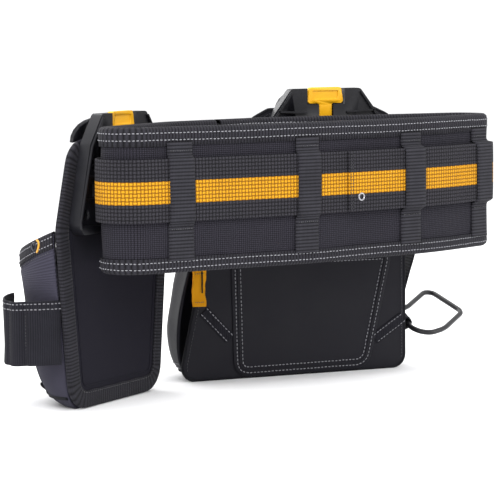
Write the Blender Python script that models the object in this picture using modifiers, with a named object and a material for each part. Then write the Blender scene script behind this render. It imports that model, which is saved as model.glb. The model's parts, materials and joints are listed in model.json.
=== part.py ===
"""A padded tool belt with two pouches that lift off their belt hubs.

Sizes are in millimetres; MM turns them into Blender's metres.  The ring of the belt is a rounded
polygon seen from above.  Pouch B hangs square on the far wall, pouch A on the slanted left wall.
Each pouch is modelled in its own frame: +X along its back panel, +Y away from the wearer, +Z up,
with Y = 0 on the panel's belt side, and is then placed on the ring at its hub.
"""

from math import acos, atan2, ceil, cos, pi, radians, sin, tan

import bmesh
import bpy
from mathutils import Matrix, Vector

MM = 0.001
GAP = 0.3  # between pieces that touch

# Belt ring, seen from above: five corners joined by runs, each corner rounded.
FAR_RUN = 263.0
BUCKLE_RUN = 100.0
SIDE_RUN = 160.0
RING_DEPTH = 104.0
BUCKLE_TURN = 19.0
SIDE_TURN = 38.0
FAR_START = -71.0
NEAR_LEFT_X = -72.0
NEAR_RIGHT_X = 54.0
NEAR_RIGHT_SHARE = 0.68
TIP_RADIUS = 20.0
BEND_RADIUS = 40.0
NEAR_RADIUS = 280.0
STATION_STEP = 9.0

# Pad
PAD_Z = 114.0
PAD_HEIGHT = 116.0
FOAM_THICK = 8.0
SKIN_THICK = 0.8
PAD_END_GAP = 5.0
BINDING_THICK = 1.0
TOP_BINDING = 15.0
BOTTOM_BINDING = 12.0

# Webbing
WEB_WIDTH = 50.0
WEB_THICK = 2.0
WEB_ABOVE_PAD_BASE = 41.0
HUB_BACK_WALL = 1.4
LOOP_WIDTH = 22.0
LOOP_THICK = 1.2
EYELET_RADIUS = 3.2
EYELET_BORE = 1.9
EYELET_LIP = 0.5
EYELET_SHARE = 0.24
NEAR_LEFT_LOOPS = ((-120.0, 0.0), (-3.0, 0.0))  # from the near wall's left corner
NEAR_RIGHT_LOOPS = ((-24.0, 0.0), (62.0, 28.0))  # from the near wall's right corner
FAR_LOOPS = (142.0, 20.0)  # along the far wall from its left end
LOOP_RAMP = 3.0
FREE_END_X = -35.0

# Buckle
BUCKLE_HEIGHT = 60.0
BUCKLE_THICK = 9.0
HOUSING_LENGTH = 40.0
PLUG_LENGTH = 34.0
BUCKLE_WALL = 2.0
ARM_WIDTH = 6.0
ARM_REACH = 24.0
ARM_HOOK = 8.0
ARM_PLAY = 1.0
WINDOW_LENGTH = 13.0

# Hub and bracket
HUB_A_SHARE = 0.242  # how far along the left wall pouch A's hub sits
HUB_WIDTH = 64.0
HUB_SLOT_PLAY = 8.0
HUB_FRONT_WALL = 5.2
HUB_RIM = 4.0
LIP_THICK = 3.0
NECK_HALF = 15.4
HEAD_HALF = 21.6
HEAD_THICK = 4.8
RUN_CLEAR = 0.4
BRACKET_THICK = 10.0
BRACKET_DROP = 97.0
BRACKET_TOP_HALF = 33.0
BRACKET_SHOULDER_HALF = 51.0
BRACKET_FOOT_HALF = 69.0
SHOULDER_DROP = 25.0
CHANNEL_DROP = 46.0
HOOD_REACH = 17.0
HOOD_DROP = 19.0
HOOD_THICK = 3.0
HOOD_HALF = 38.0
LATCH_BAR_HALF = 17.0
LATCH_BAR_HEIGHT = 14.0
LATCH_STEM_HALF = 6.0
LATCH_LENGTH = 42.0
LATCH_THICK = 5.0
LATCH_PIVOT_DROP = 27.0
PIN_RADIUS = 1.5
SCREW_HEAD_RADIUS = 4.0
SCREW_HEAD_HEIGHT = 1.6
SCREW_RECESS = 2.0
SCREW_SPOTS = ((46.0, 42.0), (58.0, 81.0))  # out from the middle, down from the top
RECESS_SPOTS = ((34.0, 31.0), (47.0, 62.0))  # out from the middle, down from the top
RECESS_HALF = (5.0, 6.0)
RECESS_RADIUS = 1.5
RAIL_FOOT = 6.0
NECK_ROOT = 1.0
LIP_FOOT = 16.0
LIP_OVER = 2.0
LIP_INSET = 0.2
HOOD_STEPS = 6
HOOD_FLARE = 8.0
HOOD_ROOT = 4.0
HOOD_CROWN = 3.0
LATCH_CLEAR = 0.8
LATCH_SLOT_BACK = 1.8
PIN_SET_BACK = 0.8
PIN_HALF = 12.6
PIN_PLAY = 0.25
CUT_OVER = 5.0  # how far a cutter reaches past the piece it cuts

# Pouches
PANEL_THICK = 4.0
CLOTH = 2.5
A_TOP = 240.0
A_PANEL_TOP = 221.0
A_HALF = 82.0
A_FOOT_HALF = 66.0
A_DEPTH = 67.0
A_RIM_BACK = 148.0
A_RIM_FRONT = 122.0
B_TOP = 254.0
B_PANEL_TOP = 236.0
B_LEFT = 112.0
B_RIGHT = 82.0
B_FOOT_LEFT = 136.0
B_DEPTH = 62.0
B_RIM_BACK = 176.0
B_RIM_FRONT = 152.0
FRONT_POCKET_DEPTH = 24.0
FRONT_POCKET_TOP = 112.0
FRONT_POCKET_MIDDLE = -21.0
FRONT_POCKET_FOOT = 12.0
FRONT_THICK = 2.0
FRONT_CLEAR = 0.6
FRONT_CORNER = 12.0
RIM_BAND = 12.0
BINDING_BAND = 14.0
SLEEVE_LOW = 39.0
SLEEVE_HIGH = 91.0
SLEEVE_THICK = 2.0
BINDING_TOP_GAP = 16.0
RIVET_ANGLE = 16.0
RIVET_RADIUS = 3.6
RIVET_HEIGHT = 2.0
RIVET_STAND = 4.8
STRAP_BACK = 12.0
STRAP_FRONT = 34.0
STRAP_THICK = 2.0
TAB_LOW = 66.0
TAB_HIGH = 101.0
TAB_THICK = 1.8
WIRE_RADIUS = 2.5
KEEPER_BORE = 3.1
KEEPER_LOW = (-5.5, -23.0, -7.0)
KEEPER_HIGH = (4.5, -4.0, 7.0)
HAMMER_TILT = 20.0
HAMMER_HEIGHT = 46.0
HAMMER_OUT = 7.5

# Derived distances, measured outward from the middle of the pad
PAD_FACE = FOAM_THICK / 2 + GAP + SKIN_THICK
WEB_IN = PAD_FACE + RUN_CLEAR + HUB_BACK_WALL + RUN_CLEAR
WEB_OUT = WEB_IN + WEB_THICK
FREE_IN = WEB_OUT + GAP
FREE_OUT = FREE_IN + WEB_THICK
HUB_FACE = FREE_OUT + RUN_CLEAR + HUB_FRONT_WALL
STACK = HUB_FACE + RUN_CLEAR + BRACKET_THICK + GAP
WEB_Z = PAD_Z + WEB_ABOVE_PAD_BASE
PAD_TOP = PAD_Z + PAD_HEIGHT

# A bag's sections below its rim: height at the back and in front, then how far each
# is in from the widest left side, right side and depth.
FLOOR = CLOTH / 2
BAG_CORNER_A = 60.0
BAG_CORNER_B = 34.0
A_TAPER = A_HALF - A_FOOT_HALF
A_SECTIONS = ((100, 96, A_TAPER * 0.25, A_TAPER * 0.25, 0), (60, 58, A_TAPER * 0.62, A_TAPER * 0.62, 2),
              (30, 28, A_TAPER * 0.88, A_TAPER * 0.88, 6), (12, 10, A_TAPER * 1.12, A_TAPER * 1.12, 16),
              (FLOOR, FLOOR, A_TAPER + 12, A_TAPER + 12, 30),
              (FLOOR, FLOOR, A_TAPER + 24, A_TAPER + 24, A_DEPTH - PANEL_THICK - 6))
B_RIM_LEFT_IN = 32.0
B_RIM_RIGHT_IN = 4.0
B_SECTIONS = ((100, 98, 12, 0, 0), (60, 58, 2, 0, 2), (30, 28, 0, 1, 6), (12, 10, 4, 4, 14),
              (FLOOR, FLOOR, 18, 14, 28), (FLOOR, FLOOR, 30, 26, B_DEPTH - PANEL_THICK - 6))
FRONT_SECTIONS = ((FRONT_POCKET_TOP, 0, 58), (60, 0, 60), (30, 3, 58), (14, 12, 50))  # height, in, half width

# Corners of flat shapes: x, height, corner radius
A_PANEL_HALF = ((30, A_PANEL_TOP, 6), (62, A_PANEL_TOP - 5, 24), (A_HALF, A_RIM_BACK, 30), (A_FOOT_HALF, 0, 24))
B_PANEL = ((50, B_PANEL_TOP, 6), (70, B_PANEL_TOP - 9, 14), (B_RIGHT, 120, 40), (B_RIGHT, 0, 12),
           (-B_FOOT_LEFT, 0, 12), (-B_LEFT, 108, 60), (-68, B_PANEL_TOP - 9, 16), (-50, B_PANEL_TOP, 6))
B_PATCH = ((66, 106, 8), (42, 6, 14), (-82, 4, 12), (-84, 106, 8))

# The wire's corners in its own plane: out from the pouch, along the bar, corner radius
HAMMER_LOOP = ((0, -32, 8), (0, 2, 5), (15, 9, 22), (50, 41, 7), (63, -8, 11), (30, -38, 40), (8, -46, 13))

# Strips that stand off a pouch's side: distance along and out, or out and height
A_SLEEVE = ((-77.5, 7.6), (-83, 12), (-89, 18), (-93, 28), (-92, 40), (-86, 51), (-74, 60), (-48, A_DEPTH + 6))
B_STRAP = ((1, 64), (7, 84), (13, 104), (14, 124), (8, 150), (1, 160))

COLOURS = {
    "cover": ((0.030, 0.031, 0.036), 0.85, 0.0),
    "binding": ((0.022, 0.022, 0.026), 0.8, 0.0),
    "webbing": ((0.035, 0.035, 0.038), 0.75, 0.0),
    "foam": ((0.20, 0.20, 0.21), 0.95, 0.0),
    "plastic": ((0.020, 0.021, 0.024), 0.5, 0.0),
    "yellow": ((0.85, 0.42, 0.02), 0.45, 0.0),
    "steel": ((0.50, 0.50, 0.52), 0.35, 1.0),
    "slate": ((0.060, 0.065, 0.085), 0.85, 0.0),
    "panel": ((0.012, 0.013, 0.018), 0.6, 0.0),
    "wire": ((0.015, 0.015, 0.016), 0.4, 0.0),
}

for old in list(bpy.data.objects):
    bpy.data.objects.remove(old, do_unlink=True)

parts = bpy.data.collections.new("tool_belt")
cutters = bpy.data.collections.new("tool_belt_cutters")
bpy.context.scene.collection.children.link(parts)
bpy.context.scene.collection.children.link(cutters)


# ---------------------------------------------------------------- helpers

def finish_mesh(bm, name):
    """Turn a bmesh in millimetres into a mesh in metres."""
    bmesh.ops.scale(bm, vec=(MM, MM, MM), verts=bm.verts)
    mesh = bpy.data.meshes.new(name)
    bm.to_mesh(mesh)
    bm.free()
    return mesh


def material(name, finish):
    colour, roughness, metallic = COLOURS[finish]
    mat = bpy.data.materials.new(name + "_finish")
    mat.use_nodes = True
    shader = mat.node_tree.nodes["Principled BSDF"]
    shader.inputs["Base Color"].default_value = (*colour, 1.0)
    shader.inputs["Roughness"].default_value = roughness
    shader.inputs["Metallic"].default_value = metallic
    return mat


def place(name, mesh, finish, frame=None, smooth=False):
    """Make the named piece in the frame of its pouch, hub or ring station."""
    obj = bpy.data.objects.new(name, mesh)
    mesh.materials.append(material(name, finish))
    parts.objects.link(obj)
    if frame is not None:
        obj.matrix_world = frame
    if smooth:
        mesh.shade_smooth()
        mesh.set_sharp_from_angle(angle=radians(35))
    return obj


def helper(name, mesh, frame=None):
    """Make a cutter or a shape to be joined; it isn't a piece of the belt."""
    obj = bpy.data.objects.new(name, mesh)
    cutters.objects.link(obj)
    obj.hide_render = True
    obj.display_type = "WIRE"
    if frame is not None:
        obj.matrix_world = frame
    return obj


def boolean(obj, other, operation):
    mod = obj.modifiers.new(operation.lower() + "_" + other.name, "BOOLEAN")
    mod.operation = operation
    mod.solver = "EXACT"
    mod.object = other


def box_mesh(name, low, high):
    bm = bmesh.new()
    bmesh.ops.create_cube(bm, size=1.0)
    size = [high[i] - low[i] for i in range(3)]
    middle = [(high[i] + low[i]) / 2 for i in range(3)]
    bmesh.ops.scale(bm, vec=size, verts=bm.verts)
    bmesh.ops.translate(bm, vec=middle, verts=bm.verts)
    return finish_mesh(bm, name)


def rod_mesh(name, start, end, radius, sides=14, end_radius=None):
    """A round bar or cone between two points."""
    start = Vector(start)
    end = Vector(end)
    bm = bmesh.new()
    top = radius if end_radius is None else end_radius
    bmesh.ops.create_cone(bm, cap_ends=True, segments=sides, radius1=radius, radius2=top,
                          depth=(end - start).length)
    turn = (end - start).to_track_quat("Z", "Y").to_matrix().to_4x4()
    bm.transform(Matrix.Translation((start + end) / 2) @ turn)
    return finish_mesh(bm, name)


def arc_steps(angle, radius, step):
    return max(2, ceil(abs(angle) * radius / step))


def rounded(corners, step=6.0):
    """Closed outline through (x, y, radius) corners, each corner an arc."""
    outline = []
    for i, (x, y, radius) in enumerate(corners):
        here = Vector((x, y))
        back = (Vector(corners[i - 1][:2]) - here).normalized()
        ahead = (Vector(corners[(i + 1) % len(corners)][:2]) - here).normalized()
        if radius <= 0:
            outline.append(here)
            continue
        inside = acos(max(-1.0, min(1.0, back.dot(ahead))))
        reach = radius / tan(inside / 2)
        centre = here + (back + ahead).normalized() * (radius / sin(inside / 2))
        start = here + back * reach - centre
        end = here + ahead * reach - centre
        first = atan2(start.y, start.x)
        sweep = (atan2(end.y, end.x) - first + pi) % (2 * pi) - pi
        count = arc_steps(sweep, radius, step)
        for k in range(count + 1):
            angle = first + sweep * k / count
            outline.append(centre + radius * Vector((cos(angle), sin(angle))))
    return outline


def mirrored(half):
    """Corners of a shape symmetric about x = 0 from those of its right half, top to bottom."""
    return half + [(-x, y, radius) for x, y, radius in reversed(half)]


def flat_mesh(name, outline, thickness, frame):
    """A flat outline as an extruded 2D curve turned into a mesh, each end closed by one face."""
    curve = bpy.data.curves.new(name, "CURVE")
    curve.dimensions = "2D"
    curve.fill_mode = "NONE"
    curve.extrude = thickness / 2
    spline = curve.splines.new("POLY")
    spline.points.add(len(outline) - 1)
    for point, (x, y) in zip(spline.points, outline):
        point.co = (x, y, 0.0, 1.0)
    spline.use_cyclic_u = True
    return curve_to_mesh(name, curve, frame, close_ends=True)


def curve_to_mesh(name, curve, frame, close_ends=False):
    temporary = bpy.data.objects.new(name, curve)
    cutters.objects.link(temporary)
    graph = bpy.context.evaluated_depsgraph_get()
    mesh = bpy.data.meshes.new_from_object(temporary.evaluated_get(graph))
    bpy.data.objects.remove(temporary, do_unlink=True)
    bpy.data.curves.remove(curve)
    bm = bmesh.new()
    bm.from_mesh(mesh)
    bpy.data.meshes.remove(mesh)
    bmesh.ops.remove_doubles(bm, verts=bm.verts, dist=0.001)
    if close_ends:
        bmesh.ops.holes_fill(bm, edges=[e for e in bm.edges if e.is_boundary], sides=0)
    bm.transform(frame)
    bmesh.ops.recalc_face_normals(bm, faces=bm.faces)
    return finish_mesh(bm, name)


def wall_frame(y_low, y_high):
    """Stands a flat outline up: its x stays, its y becomes z, its thickness lies along y."""
    return Matrix.Translation((0, (y_low + y_high) / 2, 0)) @ Matrix.Rotation(pi / 2, 4, "X")


def panel_mesh(name, outline, y_low, y_high):
    return flat_mesh(name, outline, y_high - y_low, wall_frame(y_low, y_high))


def tube_mesh(name, points, radius, closed):
    curve = bpy.data.curves.new(name, "CURVE")
    curve.dimensions = "3D"
    curve.bevel_depth = radius
    curve.bevel_resolution = 2
    curve.use_fill_caps = not closed
    spline = curve.splines.new("POLY")
    spline.points.add(len(points) - 1)
    for point, co in zip(spline.points, points):
        point.co = (*co, 1.0)
    spline.use_cyclic_u = closed
    return curve_to_mesh(name, curve, Matrix())


def shell_mesh(name, rows):
    """An open surface drawn by extruding the first row of points to each next one."""
    bm = bmesh.new()
    verts = [bm.verts.new(p) for p in rows[0]]
    edges = [bm.edges.new((verts[i], verts[i + 1])) for i in range(len(verts) - 1)]
    for row in rows[1:]:
        grown = bmesh.ops.extrude_edge_only(bm, edges=edges)["geom"]
        edges = [e for e in grown if isinstance(e, bmesh.types.BMEdge)]
        fresh = [v for v in grown if isinstance(v, bmesh.types.BMVert)]
        for vert, co in zip(fresh, row):
            vert.co = co
    bmesh.ops.recalc_face_normals(bm, faces=bm.faces)
    return finish_mesh(bm, name)


def solidify(obj, thickness):
    mod = obj.modifiers.new("thickness", "SOLIDIFY")
    mod.thickness = thickness * MM
    mod.offset = 0.0
    mod.use_even_offset = True
    return obj


# ---------------------------------------------------------------- the ring

def ring_corners():
    far_left = Vector((FAR_START, -STACK))
    turn = radians(180 + BUCKLE_TURN)
    side_top = far_left + BUCKLE_RUN * Vector((cos(turn), sin(turn)))
    turn = radians(180 + SIDE_TURN)
    left_tip = side_top + SIDE_RUN * Vector((cos(turn), sin(turn)))
    right_tip = far_left + Vector((FAR_RUN, 0))
    near_y = -STACK - RING_DEPTH
    near_right_y = -STACK - RING_DEPTH * NEAR_RIGHT_SHARE
    return [(*far_left, BEND_RADIUS), (*right_tip, TIP_RADIUS),
            (NEAR_RIGHT_X, near_right_y, NEAR_RADIUS), (NEAR_LEFT_X, near_y, NEAR_RADIUS),
            (*left_tip, TIP_RADIUS), (*side_top, BEND_RADIUS)]


class Ring:
    """The closed middle line of the pad, measured along its length clockwise from above."""

    def __init__(self, corners):
        self.points = rounded(corners, STATION_STEP)
        self.marks = [0.0]
        for a, b in zip(self.points, self.points[1:] + self.points[:1]):
            self.marks.append(self.marks[-1] + (b - a).length)
        self.length = self.marks[-1]

    def at(self, s):
        """Point and direction at distance s."""
        s = s % self.length
        i = max(k for k, mark in enumerate(self.marks[:-1]) if mark <= s)
        a = self.points[i]
        b = self.points[(i + 1) % len(self.points)]
        direction = (b - a).normalized()
        return a + direction * (s - self.marks[i]), direction

    def nearest(self, x, y):
        """Distance along the ring of the place closest to a point."""
        target = Vector((x, y))
        best = (1e9, 0.0)
        for i, a in enumerate(self.points):
            b = self.points[(i + 1) % len(self.points)]
            run = b - a
            share = max(0.0, min(1.0, (target - a).dot(run) / run.length_squared))
            distance = (a + run * share - target).length
            best = min(best, (distance, self.marks[i] + run.length * share))
        return best[1]

    def frame(self, s, outward=0.0):
        """Frame at s: +X along the ring, +Y outward, +Z up."""
        point, direction = self.at(s)
        normal = Vector((-direction.y, direction.x))
        point = point + normal * outward
        columns = Matrix(((direction.x, normal.x, 0, point.x * MM), (direction.y, normal.y, 0, point.y * MM),
                          (0, 0, 1, 0), (0, 0, 0, 1)))
        return columns

    def stretch(self, start, end):
        """Places from start to end, with the mitred outward direction at each."""
        span = (end - start) % self.length
        marks = sorted((m - start) % self.length for m in self.marks[:-1])
        inner = [m for m in marks if STATION_STEP * 0.2 < m < span - STATION_STEP * 0.2]
        places = []
        for m in [0.0] + inner + [span]:
            point, _ = self.at(start + m)
            _, before = self.at(start + m - (0.01 if 0 < m else 0.0))
            _, after = self.at(start + m + (0.01 if m < span else 0.0))
            middle = (before + after).normalized()
            stretch = 1.0 / max(0.5, middle.dot(before))
            places.append((point, Vector((-middle.y, middle.x)) * stretch))
        return places


ring = Ring(ring_corners())
side_mid = ring_corners()[5]
tip_mid = ring_corners()[4]
hub_a_at = ring.nearest(side_mid[0] + (tip_mid[0] - side_mid[0]) * HUB_A_SHARE,
                        side_mid[1] + (tip_mid[1] - side_mid[1]) * HUB_A_SHARE)
hub_b_at = ring.nearest(0.0, -STACK)
far_left = Vector(ring_corners()[0][:2])
buckle_at = ring.nearest(*((far_left + Vector(side_mid[:2])) / 2))
near_left = ring_corners()[3]


def band(name, start, end, profile, thickness, finish):
    """A strip that follows the ring; profile is (outward, z) points across it."""
    places = ring.stretch(start, end)
    rows = [[(*(point + normal * outward), z) for point, normal in places] for outward, z in profile]
    return solidify(place(name, shell_mesh(name, rows), finish), thickness)


def build_pad():
    start = buckle_at + PAD_END_GAP / 2
    end = buckle_at - PAD_END_GAP / 2
    low = PAD_Z + BINDING_THICK + GAP
    high = PAD_TOP - BINDING_THICK - GAP
    skin = FOAM_THICK / 2 + GAP + SKIN_THICK / 2
    middle = PAD_FACE + GAP + BINDING_THICK / 2
    band("pad_foam", start, end, [(0, low), (0, high)], FOAM_THICK, "foam")
    band("pad_cover", start, end, [(skin, low), (skin, high)], SKIN_THICK, "cover")
    band("pad_lining", start, end, [(-skin, low), (-skin, high)], SKIN_THICK, "cover")
    edge = PAD_TOP - BINDING_THICK / 2
    band("pad_top_binding", start, end,
         [(-middle, PAD_TOP - TOP_BINDING), (-middle, edge), (middle, edge), (middle, PAD_TOP - TOP_BINDING)],
         BINDING_THICK, "binding")
    edge = PAD_Z + BINDING_THICK / 2
    band("pad_bottom_binding", start, end,
         [(-middle, PAD_Z + BOTTOM_BINDING), (-middle, edge), (middle, edge), (middle, PAD_Z + BOTTOM_BINDING)],
         BINDING_THICK, "binding")


BUCKLE_HALF = (HOUSING_LENGTH + PLUG_LENGTH) / 2
free_end_at = ring.nearest(FREE_END_X, near_left[1])


def build_webbing():
    start = buckle_at + BUCKLE_HALF + RUN_CLEAR
    end = buckle_at - BUCKLE_HALF - RUN_CLEAR
    heights = (WEB_Z, WEB_Z + WEB_WIDTH)
    middle = (WEB_IN + WEB_OUT) / 2
    band("webbing", start, end, [(middle, z) for z in heights], WEB_THICK, "webbing")
    middle = (FREE_IN + FREE_OUT) / 2
    free = band("webbing_free_end", start, free_end_at, [(middle, z) for z in heights], WEB_THICK, "webbing")
    spot = ring.frame(free_end_at - EYELET_RADIUS * 4, middle)
    height = WEB_Z + WEB_WIDTH * EYELET_SHARE
    hole = helper("eyelet_hole", rod_mesh("eyelet_hole", (0, -WEB_THICK, height), (0, WEB_THICK, height),
                                          EYELET_RADIUS + GAP, 16), spot)
    boolean(free, hole, "DIFFERENCE")
    eyelet_half = WEB_THICK / 2 + EYELET_LIP
    tube = rod_mesh("webbing_eyelet", (0, -WEB_THICK / 2, height), (0, eyelet_half, height), EYELET_RADIUS, 20)
    eyelet = place("webbing_eyelet", tube, "steel", spot, smooth=True)
    through = rod_mesh("eyelet_bore", (0, -WEB_THICK * 2, height), (0, WEB_THICK * 2, height), EYELET_BORE, 20)
    bore = helper("eyelet_bore", through, spot)
    boolean(eyelet, bore, "DIFFERENCE")


def build_belt_loop(index, s, over_free_end):
    """A strap sewn flat above and below the webbing and standing over it."""
    half = LOOP_WIDTH / 2
    top = PAD_TOP - TOP_BINDING - GAP
    low = PAD_Z + BOTTOM_BINDING + GAP
    foot = PAD_FACE + 2 * GAP + LOOP_THICK / 2
    crown = (FREE_OUT if over_free_end else WEB_OUT) + 2 * GAP + LOOP_THICK / 2
    sides = [(foot, top), (foot, WEB_Z + WEB_WIDTH + LOOP_RAMP), (crown, WEB_Z + WEB_WIDTH + GAP),
             (crown, WEB_Z - GAP), (foot, WEB_Z - LOOP_RAMP), (foot, low)]
    name = f"belt_loop_{index}"
    rows = [[(x, y, z) for y, z in sides] for x in (-half, half)]
    solidify(place(name, shell_mesh(name, rows), "binding", ring.frame(s)), LOOP_THICK)


def build_belt_loops():
    """Two loops left of the free end's tip on the near wall, two over it, and two on the far wall."""
    near_right = ring_corners()[2]
    left = [ring.nearest(near_left[0] + x, near_left[1] + y) for x, y in NEAR_LEFT_LOOPS]
    right = [ring.nearest(near_right[0] + x, near_right[1] + y) for x, y in NEAR_RIGHT_LOOPS]
    far = [ring.nearest(FAR_START + x, -STACK) for x in FAR_LOOPS]
    for index, s in enumerate(left, 1):
        build_belt_loop(index, s, over_free_end=False)
    for index, s in enumerate(right + far, len(left) + 1):
        build_belt_loop(index, s, over_free_end=True)


# ---------------------------------------------------------------- buckle

BUCKLE_IN = PAD_FACE + BINDING_THICK + 3 * GAP
BUCKLE_OUT = BUCKLE_IN + BUCKLE_THICK


def build_buckle():
    """A side-release buckle: the plug's two arms spring apart inside the housing."""
    frame = ring.frame(buckle_at)
    low = WEB_Z + WEB_WIDTH / 2 - BUCKLE_HEIGHT / 2
    high = low + BUCKLE_HEIGHT
    split = BUCKLE_HALF - PLUG_LENGTH
    wall = BUCKLE_WALL
    tip = split - ARM_REACH
    housing = place("buckle_housing", box_mesh("buckle_housing", (-BUCKLE_HALF, BUCKLE_IN, low),
                                               (split, BUCKLE_OUT, high)), "plastic", frame)
    mouth = helper("buckle_mouth", box_mesh("buckle_mouth", (tip - 2 * wall, BUCKLE_IN + wall, low + wall),
                                            (split + CUT_OVER, BUCKLE_OUT - wall, high - wall)), frame)
    boolean(housing, mouth, "DIFFERENCE")
    windows = helper("buckle_windows", box_mesh("buckle_windows",
                                                (tip - 1, BUCKLE_IN + wall + RUN_CLEAR, low - CUT_OVER),
                                                (tip - 1 + WINDOW_LENGTH, BUCKLE_OUT - wall - RUN_CLEAR,
                                                 high + CUT_OVER)), frame)
    boolean(housing, windows, "DIFFERENCE")
    place("buckle_plug", box_mesh("buckle_plug", (split + RUN_CLEAR, BUCKLE_IN, low),
                                  (BUCKLE_HALF, BUCKLE_OUT, high)), "plastic", frame)
    inset = 2 * wall
    for name, edge, sign in (("buckle_arm_upper", high, -1), ("buckle_arm_lower", low, 1)):
        near = edge + sign * inset
        far = near + sign * ARM_WIDTH
        root = split + RUN_CLEAR - GAP
        hook = edge + sign * ARM_PLAY / 2
        outline = [(root, near), (tip + ARM_HOOK + wall, near), (tip + ARM_HOOK, hook), (tip, hook), (tip, far),
                   (root, far)]
        mesh = panel_mesh(name, outline, BUCKLE_IN + wall + ARM_PLAY, BUCKLE_OUT - wall - ARM_PLAY)
        pivot = Vector((split, (BUCKLE_IN + BUCKLE_OUT) / 2, near + sign * ARM_WIDTH / 2)) * MM
        mesh.transform(Matrix.Translation(-pivot))
        place(name, mesh, "plastic", frame @ Matrix.Translation(pivot))


# ---------------------------------------------------------------- hubs and brackets

def hub_levels(top):
    """Lowest and highest point of the hub that a bracket with this top sits on."""
    channel_top = top - CHANNEL_DROP
    low = top - BRACKET_DROP + RAIL_FOOT
    return low, channel_top - RUN_CLEAR


def build_hub(letter, s, top):
    """The belt runs through a slot behind the hub's face; a T rail stands out in front."""
    low, high = hub_levels(top)
    middle = (low + high) / 2
    slot_half = (WEB_WIDTH + HUB_SLOT_PLAY) / 2
    back = PAD_FACE + RUN_CLEAR
    frame = ring.frame(s)
    slot_middle = WEB_Z + WEB_WIDTH / 2
    shell_low = slot_middle - slot_half - HUB_RIM
    shell_high = slot_middle + slot_half + HUB_RIM
    half = HUB_WIDTH / 2
    name = f"hub_{letter}"
    hub = place(name, box_mesh(name, (-half, back, shell_low), (half, HUB_FACE, shell_high)), "plastic", frame)
    tunnel = box_mesh(name + "_slot", (-half - CUT_OVER, back + HUB_BACK_WALL, slot_middle - slot_half),
                      (half + CUT_OVER, HUB_FACE - HUB_FRONT_WALL, slot_middle + slot_half))
    slot = helper(name + "_slot", tunnel, frame)
    boolean(hub, slot, "DIFFERENCE")
    neck_start = HUB_FACE - NECK_ROOT
    head_start = HUB_FACE + RUN_CLEAR + LIP_THICK + RUN_CLEAR
    head_end = head_start + HEAD_THICK
    rail = [(-NECK_HALF, neck_start), (NECK_HALF, neck_start), (NECK_HALF, head_start), (HEAD_HALF, head_start),
            (HEAD_HALF, head_end), (-HEAD_HALF, head_end), (-HEAD_HALF, head_start), (-NECK_HALF, head_start)]
    shape = flat_mesh(name + "_rail", rail, high - low, Matrix.Translation((0, 0, middle)))
    boolean(hub, helper(name + "_rail", shape, frame), "UNION")


def bracket_outline(top):
    foot = top - BRACKET_DROP
    inner = HEAD_HALF + RUN_CLEAR
    half = [(BRACKET_TOP_HALF, top - 1, 4), (BRACKET_SHOULDER_HALF, top - SHOULDER_DROP, 8),
            (BRACKET_FOOT_HALF, foot + 8, 6), (BRACKET_FOOT_HALF - 8, foot, 5), (inner + 8, foot, 5),
            (inner, foot + 14, 3), (inner, top - CHANNEL_DROP, 0)]
    return mirrored(half)


def build_bracket(letter, frame, top):
    """An A-shaped bracket: a channel for the hub's rail between two ribbed legs, and a hood."""
    name = f"bracket_{letter}"
    low_y = -BRACKET_THICK - GAP
    bracket = place(name, panel_mesh(name, rounded(bracket_outline(top), 4.0), low_y, -GAP), "plastic", frame)
    lip_low = top - BRACKET_DROP + LIP_FOOT
    lip_high = top - CHANNEL_DROP + LIP_OVER
    for side, sign in (("left", -1), ("right", 1)):
        near, far = sorted((sign * (NECK_HALF + RUN_CLEAR), sign * (HEAD_HALF + HUB_RIM)))
        shape = box_mesh(f"{name}_lip_{side}", (near, low_y + LIP_INSET, lip_low),
                         (far, low_y + LIP_THICK, lip_high))
        boolean(bracket, helper(f"{name}_lip_{side}", shape, frame), "UNION")
        for k, (out, drop) in enumerate(RECESS_SPOTS):
            spot = (sign * out, top - drop)
            window = [(spot[0] + x * RECESS_HALF[0], spot[1] + z * RECESS_HALF[1], RECESS_RADIUS)
                      for x, z in ((-1, -1), (1, -1), (1, 1), (-1, 1))]
            label = f"{name}_recess_{side}_{k}"
            mesh = panel_mesh(label, rounded(window, 2.0), low_y - CUT_OVER, low_y + CUT_OVER)
            boolean(bracket, helper(label, mesh, frame), "DIFFERENCE")
    boolean(bracket, build_hood(name, frame, top), "UNION")
    slot_bar = LATCH_BAR_HALF + LATCH_CLEAR
    slot_stem = LATCH_STEM_HALF + LATCH_CLEAR
    step = top - LATCH_BAR_HEIGHT - LATCH_CLEAR
    end = top - LATCH_LENGTH - LATCH_CLEAR
    above = top + CUT_OVER
    notch = [(slot_bar, above), (slot_bar, step), (slot_stem, step), (slot_stem, end),
             (-slot_stem, end), (-slot_stem, step), (-slot_bar, step), (-slot_bar, above)]
    mesh = panel_mesh(name + "_latch_slot", notch, low_y - CUT_OVER, -GAP - LATCH_SLOT_BACK)
    boolean(bracket, helper(name + "_latch_slot", mesh, frame), "DIFFERENCE")
    pivot = top - LATCH_PIVOT_DROP
    pin_y = low_y + BRACKET_THICK / 2 - PIN_SET_BACK
    reach = PIN_HALF + RUN_CLEAR
    bore = rod_mesh(name + "_pin_bore", (-reach, pin_y, pivot), (reach, pin_y, pivot), PIN_RADIUS + PIN_PLAY)
    boolean(bracket, helper(name + "_pin_bore", bore, frame), "DIFFERENCE")
    pin = rod_mesh("latch_pin", (-PIN_HALF, pin_y, pivot), (PIN_HALF, pin_y, pivot), PIN_RADIUS)
    place(f"latch_pin_{letter}", pin, "steel", frame, smooth=True)
    build_latch(letter, frame, top, pin_y)
    build_screws(letter, frame, bracket, top, low_y)


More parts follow.
